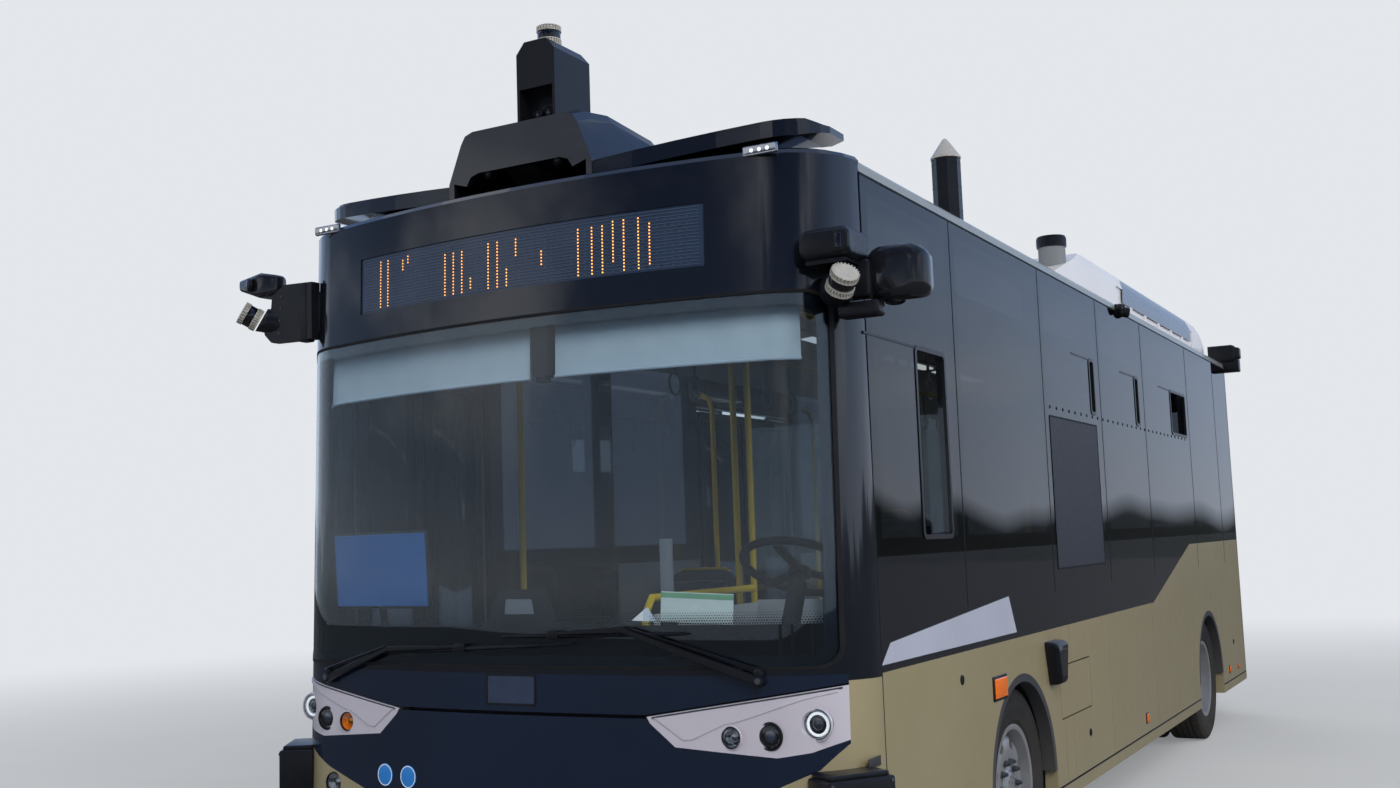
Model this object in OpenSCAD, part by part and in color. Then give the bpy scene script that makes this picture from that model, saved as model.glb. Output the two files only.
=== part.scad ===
// Airport passenger bus, a low-floor electric midibus with self-driving sensors.
// The bus stands on its tyres. +Z is up, the front faces -Y, the driver's side is +X
// and the passenger doors are on the -X side. The origin is on the ground below the middle.

/* [Body shell] */
// Length over the front and rear skins
body_l = 8300; // [8100:50:8500]
// Width over the side skins
body_w = 2435; // [2395:5:2475]
// Height of the skirt's lower edge
skirt_z = 270; // [250:5:290]
// Height of the groove above the skirt rail
gutter_z = 330; // [320:5:340]
// Height of the belt line, where gold meets black
belt_z = 1050; // [1030:5:1070]
// Height of the raised belt line over the rear axle
belt_rear_z = 1375; // [1355:5:1395]
// Lower edge of the side window panes
pane_z = 1434; // [1420:2:1450]
// Upper edge of the window band, where the cantrail starts
rail_z = 2764; // [2744:4:2784]
// Height of the roof's side edge above the cantrail
eave_h = 76; // [70:2:90]
// Rise of the roof's crown above its edge
crown_h = 60; // [50:5:80]
// Thickness of the side walls
wall_t = 60; // [56:1:64]
// Thickness of the roof shell
roof_t = 45; // [40:1:50]
// Thickness of the window panes
pane_t = 8; // [6:1:10]

/* [Front and rear ends] */
// Radius of the front in plan
nose_r = 4600; // [4400:50:4800]
// Radius of the front corners in plan
nose_corner_r = 320; // [310:5:330]
// Length of the front end, up to its seam with the sides
nose_l = 450; // [440:5:460]
// Backward lean of the whole front, degrees
rake = 1.5; // [1.2:0.1:1.8]
// Radius of the rear in plan
tail_r = 9000; // [8000:100:10000]
// Radius of the rear corners in plan
tail_corner_r = 180; // [170:5:200]
// Length of the rear end, up to its seam with the sides
tail_l = 250; // [240:5:270]
// Half width of the windshield's glass, seen from the front
screen_x = 1165; // [1150:5:1170]
// Lower edge of the windshield's glass
screen_z0 = 1092; // [1088:2:1100]
// Upper edge of the windshield's glass
screen_z1 = 2335; // [2325:5:2345]

/* [Roof equipment] */
// Half width of the sensor tower
tower_x = 88; // [84:1:92]
// Height of the sensor tower's top
tower_top_z = 3430; // [3410:5:3440]
// Radius of the spinning-head scanners
scan_r = 49; // [47:1:51]
// Length of the roof unit with the air conditioner
ac_l = 4600; // [4500:50:4650]
// Height of the roof unit's top
ac_top_z = 3190; // [3180:5:3200]

/* [Axles and wheels] */
// Distance between the axles
wheelbase = 4540; // [4520:5:4560]
// Front axle's distance behind the front
front_overhang = 2010; // [2000:5:2020]
// Tyre diameter
tyre_d = 838; // [826:2:844]
// Tyre section width
tyre_w = 245; // [235:1:250]
// Rim diameter at the bead seat
rim_d = 495; // [489:1:501]
// Gap between the side skin and the outer tyre's face
tyre_inset = 42; // [38:1:46]
// Radius of the liners over the wheels
box_r = 530; // [524:1:536]
// Gap between the tyres of a rear pair
twin_gap = 35; // [30:1:40]
// Radius of the wheel arches
arch_r = 476; // [470:1:482]
// Distance of the kingpins from the middle
kingpin_x = 930; // [926:1:932]
// Radius of the wheel spindles
spindle_r = 35; // [32:1:38]
// Radius of the kingpins
kingpin_r = 22; // [20:1:24]

/* [Floor and doors] */
// Height of the low floor
floor_z = 340; // [336:1:344]
// Height of the raised rear platform
deck_z = 700; // [690:5:710]
// Thickness of the floor
floor_t = 36; // [32:1:40]
// Front door: distance of its middle ahead of the front axle
door_front_ahead = 1050; // [1046:1:1055]
// Front door: width of the doorway
door_front_w = 850; // [840:2:856]
// Middle door: distance of its middle behind the front axle
door_mid_behind = 2140; // [2120:5:2160]
// Middle door: width of the doorway
door_mid_w = 1280; // [1260:5:1300]
// Height of the doorways' header
header_z = 2330; // [2310:5:2350]
// Thickness of a door leaf
leaf_t = 44; // [40:1:46]
// Gap between a leaf and its jamb
leaf_gap = 8; // [7:1:10]
// Radius of the door columns
column_r = 12; // [10:1:12]
// Radius of the pins that carry the leaves
leaf_pin_r = 8; // [6:1:9]

/* [Hidden] */
$fn = 48;
// Clearance of parts that seat on each other, and of running bores
seat_gap = 0.3;
run_gap = 0.05;
cut = 20;
half_w = body_w / 2;
y_front = -body_l / 2;
y_rear = body_l / 2;
nose_y = y_front + nose_l;
tail_y = y_rear - tail_l;
eave_z = rail_z + eave_h;
eave_in = 62;
roof_top_z = eave_z + crown_h;
mask_top_z = rail_z + 26;
axle_f_y = y_front + front_overhang;
axle_r_y = axle_f_y + wheelbase;
axle_z = tyre_d / 2;
bead_r = rim_d / 2;
tyre_out_x = half_w - tyre_inset;
tyre_mid_x = tyre_out_x - tyre_w / 2;
inner_mid_x = tyre_mid_x - tyre_w - twin_gap;
door_front_y = axle_f_y - door_front_ahead;
door_mid_y = axle_f_y + door_mid_behind;
deck_y = axle_r_y - 900;
// Colours of the painted parts
gold = [0.55, 0.50, 0.38];
black = [0.05, 0.05, 0.06];
navy = [0.05, 0.07, 0.11];
silver = [0.72, 0.73, 0.74];
white = [0.93, 0.93, 0.92];
dark = [0.22, 0.22, 0.23];
glass = [0.12, 0.15, 0.17, 0.5];
grey = [0.5, 0.5, 0.52];

// A box between two opposite corners
module span(a, b) translate(a) cube(b - a);
// Both sides of the bus
module both() { children(); mirror([1, 0, 0]) children(); }
// A cylinder along X, from x0 to x1
module rod_x(r, x0, x1) translate([x0, 0, 0]) rotate([0, 90, 0]) cylinder(r = r, h = x1 - x0);
// A cylinder along Y, from y0 to y1
module rod_y(r, y0, y1) translate([0, y1, 0]) rotate([90, 0, 0]) cylinder(r = r, h = y1 - y0);
// An outline in Y and Z, extruded from x0 to x1
module extrude_x(x0, x1) translate([x0, 0, 0]) rotate([90, 0, 90]) linear_extrude(x1 - x0) children();
// An outline in X and Z, extruded from y0 to y1
module extrude_y(y0, y1) translate([0, y1, 0]) rotate([90, 0, 0]) linear_extrude(y1 - y0) children();
// A rectangle with round corners, between two corners
module pill(a, b, r) hull() for (x = [a[0] + r, b[0] - r], y = [a[1] + r, b[1] - r])
  translate([x, y]) circle(r = r, $fn = 24);

// Points of an arc about c; the ends can be left out where the next arc repeats them
function arc(c, r, a0, a1, n, i0 = 0, i1 = 0) =
  [for (i = [i0 : n - i1]) c + r * [cos(a0 + (a1 - a0) * i / n), sin(a0 + (a1 - a0) * i / n)]];
// Plan outline of an end of the bus, inset by t, with its face at y = 0 and the bus towards +Y
function end_plan(big_r, corner_r, t, depth) =
  let (xc = half_w - corner_r, yc = big_r - sqrt(pow(big_r - corner_r, 2) - xc * xc),
       th = asin(xc / (big_r - corner_r)))
  concat([[-(half_w - t), depth]], arc([-xc, yc], corner_r - t, 180, 270 - th, 8),
    arc([0, big_r], big_r - t, 270 - th, 270 + th, 12, 1, 1),
    arc([xc, yc], corner_r - t, 270 + th, 360, 8), [[half_w - t, depth]]);
// How far the nose's face lies behind its foremost line at a given x
function nose_sag(x) = let (xc = half_w - nose_corner_r, cy = nose_r
  - sqrt(pow(nose_r - nose_corner_r, 2) - xc * xc), xt = xc * nose_r / (nose_r - nose_corner_r))
  abs(x) < xt ? nose_r - sqrt(nose_r * nose_r - x * x)
  : cy - sqrt(pow(nose_corner_r, 2) - pow(abs(x) - xc, 2));

// The nose leans back about the foremost line of its lower edge
module raked() translate([0, y_front, skirt_z]) rotate([-rake, 0, 0])
  translate([0, -y_front, -skirt_z]) children();
// The shell of the nose between two insets, from the skirt to the mask's top, up to its seam
module nose_shell(t0, t1) intersection() {
  raked() translate([0, y_front, skirt_z - 100]) linear_extrude(mask_top_z - skirt_z + 200)
    difference() {
      polygon(end_plan(nose_r, nose_corner_r, t0, nose_l + 150));
      polygon(end_plan(nose_r, nose_corner_r, t1, nose_l + 200));
    }
  span([-half_w - cut, y_front - cut, skirt_z], [half_w + cut, nose_y, mask_top_z]);
}
// An outline seen from the front, carried through the leaning nose
module nose_cut() raked() extrude_y(y_front - cut, y_front + nose_l + 200) children();
// The shell of the tail between two insets
module tail_shell(t0, t1, z0, z1) translate([0, y_rear, z0]) mirror([0, 1, 0]) linear_extrude(z1 - z0)
  difference() {
    polygon(end_plan(tail_r, tail_corner_r, t0, tail_l));
    polygon(end_plan(tail_r, tail_corner_r, t1, tail_l + cut));
  }

// An outline of the right half, closed over the middle by its own mirror image
function both_halves(p) = concat(p, [for (i = [len(p) - 1 : -1 : 0]) [-p[i][0], p[i][1]]]);
// Front panels seen from the front, right half: lamp housing, the panels' edges and lamps
house_top_z = 936;
house_tip_x = 536;
house_out_x = half_w - 45;
house_out = [house_out_x, 1036];
house_low = [[house_out_x, 862], [house_out_x - 92, 828], [house_out_x - 194, 812], [house_tip_x + 101, 840],
  [house_tip_x + 12, 915]];
seam_z = belt_z + 22;
upper_z = house_top_z + 6;
lower_top_z = house_top_z - 6;
// Lower edge of the dark middle, from its outer end to the middle
SMILE = [[house_out_x, 850], [house_out_x - 72, 772], [house_out_x - 232, 700], [720, 633], [450, 560],
  [0, 530]];
// Lamps in each housing: distance from the middle, height, radius
LAMPS = [[half_w - 388, 874, 34], [half_w - 260, 880, 36], [half_w - 121, 916, 46]];
FOGS = [[half_w - 310, 640, 40]];
lamp_deep = 28;
lamp_proud = 4;
module square_at(a, b) translate(a) square(b - a);
module mirrored_2d() { children(); mirror([1, 0]) children(); }
module housing_2d() mirrored_2d() polygon(concat([[house_tip_x, house_top_z], house_out], house_low));
module mask_2d() polygon(both_halves([[0, seam_z], [house_out_x, seam_z], [house_out_x, belt_z],
  [half_w + cut, belt_z], [half_w + cut, 3000], [0, 3000]]));
module upper_panel_2d() polygon(both_halves([[0, upper_z], [house_tip_x, upper_z],
  [house_out_x - seat_gap, house_out[1] + 6], [house_out_x - seat_gap, seam_z - seat_gap], [0, seam_z - seat_gap]]));
module lower_panel_2d() polygon(both_halves(concat([[0, lower_top_z], [house_tip_x, lower_top_z]],
  [for (i = [4 : -1 : 0]) house_low[i]], SMILE)));
module bumper_2d() polygon(both_halves(concat([[0, 0], [half_w + cut, 0], [half_w + cut, belt_z],
  [house_out_x, belt_z]], SMILE)));
// Display window
display_x = 775;
display_z0 = 2440;
display_z1 = 2660;
screen_rim = 45;
module screen_2d(t) pill([-screen_x + t, screen_z0 + t], [screen_x - t, screen_z1 - t], 60);
module display_2d(t) square_at([-display_x - t, display_z0 - t], [display_x + t, display_z1 + t]);
// A lamp's place on the nose
module at_lamp(l) translate([l[0], y_front + nose_sag(l[0]), l[1]]) children();

module front_bumper() color(gold) difference() {
  intersection() {
    nose_shell(0, wall_t);
    nose_cut() bumper_2d();
  }
  raked() both() for (f = FOGS) at_lamp(f) rod_y(f[2] + seat_gap, -cut * 2, lamp_deep);
  // Long slot in the bumper's lower middle
  nose_cut() square_at([-430, 384], [430, 440]);
}
module front_mask() color(black) {
  difference() {
    union() {
      intersection() {
        nose_shell(0, wall_t);
        nose_cut() mask_2d();
      }
      nose_cap();
    }
    // Rebate that the glass lies in, a hair larger than the glass, and the opening behind it
    intersection() {
      nose_shell(-cut, pane_t + seat_gap);
      nose_cut() screen_2d(-seat_gap);
    }
    nose_cut() screen_2d(screen_rim);
    nose_cut() display_2d(seat_gap);
  }
}
module nose_cap() difference() {
  nose_cap_body(0, 0);
  span([-half_w - cut, nose_y, rail_z - cut], [half_w + cut, axle_f_y, roof_top_z + cut]);
  translate([0, 1, -1]) nose_cap_body(roof_t, roof_t);
  span([-half_w - cut, y_front - cut, rail_z - 100], [half_w + cut, nose_y + cut, mask_top_z]);
}
module windshield() color(glass) intersection() {
  nose_shell(0, pane_t);
  nose_cut() screen_2d(0);
}
module lamp_housings() color(silver) difference() {
  intersection() {
    nose_shell(0, wall_t);
    nose_cut() housing_2d();
  }
  raked() both() for (l = LAMPS) at_lamp(l) rod_y(l[2] + seat_gap, -cut * 3, lamp_deep);
}
module lamps() {
  color([0.9, 0.9, 0.92]) raked() both() for (l = concat(LAMPS, FOGS)) at_lamp(l)
    rod_y(l[2], -lamp_proud, lamp_deep);
  // Marker lamps on the roof's front edge
  color([0.9, 0.9, 0.92]) both() difference() {
    translate([0, roof_front_y, mask_top_z + 8]) linear_extrude(marker_h) intersection() {
      polygon(end_plan(nose_r, nose_corner_r, -marker_proud, nose_l));
      square_at([marker_x - marker_w / 2, 0], [marker_x + marker_w / 2, 260]);
    }
    translate([0, 0, seat_gap]) nose_cap_body(-seat_gap, 0);
    translate([0, roof_front_y, 0]) linear_extrude(roof_top_z)
      polygon(end_plan(nose_r, nose_corner_r, 30, nose_l));
  }
  // Tail lamps
  color([0.7, 0.05, 0.05]) both() for (t = TAIL_LAMPS)
    translate([tail_lamp_x, y_rear - tail_lamp_sag, t]) rod_y(tail_lamp_r, -14, 12);
}
marker_x = half_w - 235;
marker_w = 124;
marker_h = 32;
marker_proud = 8;
TAIL_LAMPS = [900, 1040, 1180];
tail_lamp_x = half_w - 207;
tail_lamp_r = 50;
tail_lamp_sag = 56;
// Dark panels in the middle of the front: one above the lamp housings' tips and one below
camera_x = 105;
camera_z0 = 968;
module front_panel() color(navy) {
  difference() {
    intersection() {
      nose_shell(0, wall_t);
      nose_cut() upper_panel_2d();
    }
    // Camera window
    intersection() {
      nose_shell(-cut, 6);
      nose_cut() square_at([-camera_x, camera_z0], [camera_x, seam_z - 8]);
    }
  }
  intersection() {
    nose_shell(0, wall_t);
    nose_cut() lower_panel_2d();
  }
}

// Wheel arches cut from the lower sides
module arches_2d() for (y = [axle_f_y, axle_r_y]) translate([y, axle_z]) circle(r = arch_r);
// Lower side outline in Y and Z; the belt rises over the rear axle
belt_rise_y0 = axle_f_y + 2760;
belt_rise_y1 = axle_f_y + 4020;
module side_2d() difference() {
  polygon([[nose_y, skirt_z], [tail_y, skirt_z], [tail_y, belt_rear_z], [belt_rise_y1, belt_rear_z],
    [belt_rise_y0, belt_z], [nose_y, belt_z]]);
  arches_2d();
  translate([0, -1]) for (y = [axle_f_y, axle_r_y])
    square_at([y - arch_r + 40, 0], [y + arch_r - 40, axle_z]);
}
// Vertical seams of the lower panels
PANEL_SEAMS = [for (d = [650, 800, 1580, 2700, 3940, 5130]) axle_f_y + d];
module side_grooves() {
  for (y = PANEL_SEAMS) span([half_w - 4, y - 3, gutter_z], [half_w + cut, y + 3, belt_rear_z + cut]);
  span([half_w - 4, nose_y - cut, gutter_z - 4], [half_w + cut, tail_y + cut, gutter_z + 4]);
}
// Service flap behind the left front wheel, on pins at its front edge
side_flap_y = axle_f_y + 600;
side_flap_w = 560;
side_flap_z0 = 630;
side_flap_z1 = 865;
side_flap_t = 22;
side_flap_gap = 7;
flap_pin_r = 3;
module side_flap_pins(r, h) for (z = [side_flap_z0 - h, side_flap_z1])
  translate([half_w - 4, side_flap_y + 4, z]) cylinder(r = r, h = h);
module side_flap() color(gold) {
  span([half_w - side_flap_t, side_flap_y, side_flap_z0], [half_w, side_flap_y + side_flap_w, side_flap_z1]);
  side_flap_pins(flap_pin_r, side_flap_gap + 9);
}
module left_side() color(gold) difference() {
  extrude_x(half_w - wall_t, half_w) side_2d();
  side_grooves();
  span([half_w - side_flap_t - side_flap_gap, side_flap_y - side_flap_gap, side_flap_z0 - side_flap_gap],
    [half_w + cut, side_flap_y + side_flap_w + side_flap_gap, side_flap_z1 + side_flap_gap]);
  side_flap_pins(flap_pin_r + run_gap, side_flap_gap + 10);
}
// Doorway with its hidden pockets for the door columns
pocket = 52;
lip_t = 8;
module doorway(y, w) mirror([1, 0, 0]) {
  span([half_w - wall_t - cut, y - w / 2, floor_z], [half_w + cut, y + w / 2, header_z]);
  span([half_w - wall_t - cut, y - w / 2 - pocket + leaf_gap, floor_z],
    [half_w - lip_t, y + w / 2 + pocket - leaf_gap, header_z]);
}
module doorways() {
  doorway(door_front_y, door_front_w);
  doorway(door_mid_y, door_mid_w);
}
module right_side() color(gold) difference() {
  mirror([1, 0, 0]) extrude_x(half_w - wall_t, half_w) side_2d();
  mirror([1, 0, 0]) side_grooves();
  doorways();
}
// Window band above the belt
module band_2d() polygon([[nose_y, belt_z], [belt_rise_y0, belt_z], [belt_rise_y1, belt_rear_z],
  [tail_y, belt_rear_z], [tail_y, rail_z], [nose_y, rail_z]]);
// Panes: start and end along the bus
function behind_axle(list) = [for (p = list) [axle_f_y + p[0], axle_f_y + p[1]]];
LEFT_PANES = concat([[nose_y, axle_f_y - 650]], behind_axle([[-650, 610], [610, 1740], [1740, 2860],
  [2860, 4310], [4310, 5420]]), [[axle_f_y + 5420, tail_y]]);
RIGHT_PANES = concat([[door_front_y + door_front_w / 2 + 70, axle_f_y + 440]],
  behind_axle([[440, 1426]]), [[door_mid_y + door_mid_w / 2 + 74, axle_f_y + 4310]],
  behind_axle([[4310, 5420]]), [[axle_f_y + 5420, tail_y]]);
// Open parts of the sliding windows on the left: start and end along the bus, lower and upper edge
hopper_z0 = 2122;
hopper_z1 = 2396;
SLIDERS = concat([[axle_f_y - 1090, axle_f_y - 790, pane_z + 68, 2190]],
  [for (w = [[1530, 1610], [2620, 2700], [3700, 4200]])
    [axle_f_y + w[0], axle_f_y + w[1], hopper_z0, hopper_z1]]);
pane_gap = 4;
frame_w = 62;
module pane_2d(p) square_at([p[0] + pane_gap, pane_z], [p[1] - pane_gap, rail_z - 8]);
module pane_hole_2d(p) square_at([p[0] + frame_w, pane_z + frame_w], [p[1] - frame_w, rail_z - frame_w]);
module window_cuts(panes) for (p = panes) {
  extrude_x(half_w - pane_t, half_w + cut) pane_2d(p);
  extrude_x(half_w - wall_t - cut, half_w + cut) pane_hole_2d(p);
}
module left_window_band() color(black) difference() {
  extrude_x(half_w - wall_t, half_w) band_2d();
  window_cuts(LEFT_PANES);
}
module right_window_band() color(black) difference() {
  mirror([1, 0, 0]) extrude_x(half_w - wall_t, half_w) band_2d();
  mirror([1, 0, 0]) window_cuts(RIGHT_PANES);
  doorways();
}
module window_panes() color(glass) {
  extrude_x(half_w - pane_t, half_w) difference() {
    for (p = LEFT_PANES) pane_2d(p);
    for (w = SLIDERS) square_at([w[0], w[2]], [w[1], w[3]]);
  }
  mirror([1, 0, 0]) for (p = RIGHT_PANES) extrude_x(half_w - pane_t, half_w) pane_2d(p);
  intersection() {
    tail_shell(0, pane_t, belt_rear_z, mask_top_z);
    extrude_y(y_rear - tail_l, y_rear + cut) rear_window_2d();
  }
}
rear_window_x = half_w - 267;
module rear_window_2d() pill([-rear_window_x, 1500], [rear_window_x, 2500], 60);

// Roof section in X and Z, inset by t, open downwards to z0
function roof_section(t, z0) = let (e = [half_w - eave_in - t * 0.7, eave_z - t * 0.7],
  side = [[half_w - t, z0], [half_w - t, rail_z], [half_w - 10 - t, rail_z + eave_h * 0.45], e])
  concat([for (q = side) [-q[0], q[1]]],
    [for (i = [-4 : 4]) [(half_w - eave_in) * i / 5, eave_z + crown_h * (1 - pow(i / 5, 2)) - t]],
    [for (i = [3 : -1 : 0]) side[i]]);
roof_front_y = y_front + (mask_top_z - skirt_z) * tan(rake);
// Where the ends of the roof roll down: height above the mask's top and inset
CAP_ROLL = [[-26, 0], [10, 0], [26, 12], [38, 42]];
// The rounded end of the roof, from its plan outline up to the roof's section, inset by t and lowered by h
module cap_body(big_r, corner_r, depth, t, h) hull() {
  for (r = CAP_ROLL) translate([0, 0, mask_top_z + r[0] - h]) linear_extrude(1)
    polygon(end_plan(big_r, corner_r, t + r[1], depth));
  extrude_y(depth - 1, depth) polygon(roof_section(t, rail_z));
}
module nose_cap_body(t, h) translate([0, roof_front_y, 0])
  cap_body(nose_r, nose_corner_r, nose_y - roof_front_y, t, h);
module tail_cap_body(t, h) translate([0, y_rear, 0]) mirror([0, 1, 0])
  cap_body(tail_r, tail_corner_r, tail_l, t, h);
module roof_body() extrude_y(nose_y, tail_y) polygon(roof_section(0, rail_z));
module roof_hollow() extrude_y(nose_y - 1, tail_y + 1) polygon(roof_section(roof_t, rail_z - cut));
// Everything up to the outer surface of the roof behind the nose, for what sits on it
module below_roof() extrude_y(nose_y, y_rear + cut) polygon(roof_section(0, rail_z));
module cantrail_zone() both()
  span([half_w - eave_in, nose_y, rail_z - cut], [half_w + cut, tail_y, eave_z + cut]);
module roof() color(white) difference() {
  roof_body();
  roof_hollow();
  cantrail_zone();
}
module cantrails() color([0.6, 0.57, 0.5]) difference() {
  intersection() { roof_body(); cantrail_zone(); }
  roof_hollow();
}

// Tail: a gold lower panel with the hatch's opening, and the black mask with the rear window
hatch_x = 760;
hatch_z0 = 620;
hatch_z1 = 1300;
hatch_t = 25;
hatch_gap = 9;
hatch_top_gap = 21;
hatch_pin_r = 4;
hatch_barrel_r = 9;
hatch_axis = [y_rear - hatch_barrel_r - 1, hatch_z1 + hatch_gap / 2];
HATCH_HINGES = [-440, 440];
module hatch_axis_at() translate([0, hatch_axis[0], hatch_axis[1]]) children();
module rear_panel() color(gold) difference() {
  union() {
    difference() {
      tail_shell(0, wall_t, skirt_z, belt_rear_z);
      extrude_y(y_rear - tail_l - cut, y_rear + cut) square_at([-hatch_x - hatch_gap, hatch_z0 - hatch_gap],
        [hatch_x + hatch_gap, hatch_z1 + hatch_top_gap]);
    }
    for (x = HATCH_HINGES, s = [-1, 1]) hatch_axis_at() {
      rod_x(hatch_barrel_r, x + s * 50 - 16, x + s * 50 + 16);
      span([x + s * 50 - 16, -hatch_barrel_r, 0], [x + s * 50 + 16, 0, hatch_top_gap + 8]);
    }
  }
  for (x = HATCH_HINGES) hatch_axis_at() rod_x(hatch_pin_r + run_gap, x - 70, x + 70);
  both() for (t = TAIL_LAMPS) translate([tail_lamp_x, y_rear - tail_lamp_sag, t])
    rod_y(tail_lamp_r + seat_gap, -14, 100);
}
module rear_mask() color(black) {
  difference() {
    tail_shell(0, wall_t, belt_rear_z, mask_top_z);
    extrude_y(y_rear - tail_l - cut, y_rear + cut) rear_window_2d();
  }
  difference() {
    tail_cap_body(0, 0);
    translate([0, -1, -1]) tail_cap_body(roof_t, roof_t);
    span([-half_w - cut, tail_y - cut, rail_z - 100], [half_w + cut, y_rear + cut, mask_top_z]);
  }
}
module rear_hatch() color(gold) difference() {
  union() {
    intersection() {
      tail_shell(0, hatch_t, hatch_z0, hatch_z1);
      span([-hatch_x, y_rear - tail_l, hatch_z0], [hatch_x, y_rear + cut, hatch_z1]);
    }
    for (x = HATCH_HINGES) hatch_axis_at() {
      rod_x(hatch_barrel_r, x - 26, x + 26);
      span([x - 26, -hatch_barrel_r, -24], [x + 26, 0, 0]);
      rod_x(hatch_pin_r, x - 60, x + 60);
    }
  }
  // The panel's barrels stand in notches of the hatch
  for (x = HATCH_HINGES, s = [-1, 1]) hatch_axis_at() difference() {
    rod_x(hatch_barrel_r + 5, x + s * 50 - 21, x + s * 50 + 21);
    rod_x(hatch_pin_r, x - 60, x + 60);
  }
}
// Dark lips round the wheel arches
lip_r = 34;
module arch_lips() color(dark) both() for (y = [axle_f_y, axle_r_y]) difference() {
  translate([0, y, axle_z]) rod_x(arch_r, half_w - wall_t, half_w - 0.5);
  translate([0, y, axle_z]) rod_x(arch_r - lip_r, half_w - wall_t - cut, half_w + cut);
  span([half_w - wall_t - cut, y - arch_r - cut, -2 * arch_r], [half_w + cut, y + arch_r + cut, axle_z]);
}
// Liners over the wheels
box_t = 12;
box_in_x = 610;
rear_box_in_x = 560;
module wheel_box(y, x0) difference() {
  translate([0, y, axle_z]) rod_x(box_r, x0, inner_x);
  translate([0, y, axle_z]) rod_x(box_r - box_t, x0 + box_t, half_w);
  span([0, y - box_r - cut, -2 * box_r], [half_w, y + box_r + cut, floor_z - floor_t]);
}
module wheel_boxes() color(dark) both() {
  wheel_box(axle_f_y, box_in_x);
  difference() {
    wheel_box(axle_r_y, rear_box_in_x);
    // Notch for the rear axle's tube
    span([0, axle_r_y - 75, 0], [rear_box_in_x + 2 * box_t, axle_r_y + 75, axle_z + 75]);
  }
}
// Half width between the side walls
inner_x = half_w - wall_t - seat_gap;
cab_x0 = 250;
cab_z = 590;
// Floor with its openings for the wheel boxes, the riser and the rear platform
module floor() color(grey) difference() {
  union() {
    span([-inner_x, nose_y + 10, floor_z - floor_t], [inner_x, deck_y, floor_z]);
    span([-inner_x, deck_y, floor_z - floor_t], [inner_x, deck_y + 30, deck_z]);
    span([-inner_x, deck_y, deck_z - floor_t], [inner_x, tail_y - 20, deck_z]);
    // Raised platform of the driver
    span([cab_x0, nose_y + 10, floor_z - 1], [inner_x, cab_end_y, cab_z]);
  }
  both() {
    for (b = [[axle_f_y, box_in_x], [axle_r_y, rear_box_in_x]])
      translate([0, b[0], axle_z]) rod_x(box_r, b[1], half_w);
  }
}

// Chassis: two rails with cross members, seats for the axles, and lugs for towing and jacking
rail_x = 430;
rail_w = 70;
rail_lo = 180;
OUTRIGGERS = [for (d = [-760, 790, 1640, 2640, 3490, 5440]) axle_f_y + d];
module chassis() color([0.25, 0.26, 0.28]) {
  difference() {
    union() {
      both() span([rail_x - rail_w / 2, y_front + 120, rail_lo + 20],
        [rail_x + rail_w / 2, y_rear - 90, floor_z - floor_t]);
      for (y = concat([y_front + 450], OUTRIGGERS, [y_rear - 200]))
        span([-rail_x, y - 35, rail_lo + 40], [rail_x, y + 35, floor_z - floor_t]);
      // Outriggers under the floor's edges
      both() for (y = OUTRIGGERS)
        span([rail_x, y - 30, floor_z - floor_t - 50], [inner_x, y + 30, floor_z - floor_t]);
      tow_lug(y_front + 70, 1);
      tow_lug(y_rear - 70, -1);
    }
    // Room for the front axle's dropped beam
    translate([0, axle_f_y, 0])
      span([-half_w, -beam_w / 2 - seat_gap, 0], [half_w, beam_w / 2 + seat_gap, floor_z + cut]);
    tow_bore(y_front + 70);
    tow_bore(y_rear - 70);
  }
}
tow_r = 20;
tow_t = 26;
tow_z = 222;
module tow_lug(y, s) {
  translate([0, y, tow_z]) cylinder(r = 46, h = tow_t);
  span([-46, min(y, y + s * 380), tow_z], [46, max(y, y + s * 380), tow_z + tow_t]);
}
module tow_bore(y) translate([0, y, tow_z - cut]) cylinder(r = tow_r, h = tow_t + 2 * cut);

beam_w = 100;
beam_z0 = 190;
beam_z1 = 292;
module front_axle() color([0.3, 0.3, 0.32]) difference() {
  union() {
    // Dropped beam that rises to the kingpins behind the wheels
    extrude_y(axle_f_y - beam_w / 2, axle_f_y + beam_w / 2) polygon(both_halves([[0, beam_z0], [680, beam_z0],
      [860, axle_z - 50], [kingpin_x, axle_z - 50], [kingpin_x, axle_z + 50], [820, axle_z + 50],
      [640, beam_z1], [0, beam_z1]]));
    both() translate([kingpin_x, axle_f_y, axle_z - 50]) cylinder(r = 46, h = 100);
  }
  both() translate([kingpin_x, axle_f_y, 0]) cylinder(r = kingpin_r + run_gap, h = tyre_d);
}
module rear_axle() color([0.3, 0.3, 0.32]) {
  translate([0, axle_r_y, axle_z]) {
    rod_x(62, -inner_mid_x + 40, inner_mid_x - 40);
    both() rod_x(spindle_r, inner_mid_x - 60, tyre_mid_x + 76);
    intersection() { sphere(r = 170); rod_x(170, -140, 140); }
    span([-150, -520, -60], [150, -60, 130]);
    // Saddles on the chassis rails
    both() translate([rail_x - rail_w / 2, 0, 0])
      span([0, -70, floor_z - floor_t - axle_z + seat_gap], [rail_w, 70, -40]);
  }
}
module battery_pack() color([0.3, 0.32, 0.35])
  span([-360, tail_y - 890, floor_z + 4], [360, tail_y - 30, deck_z - floor_t]);

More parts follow.
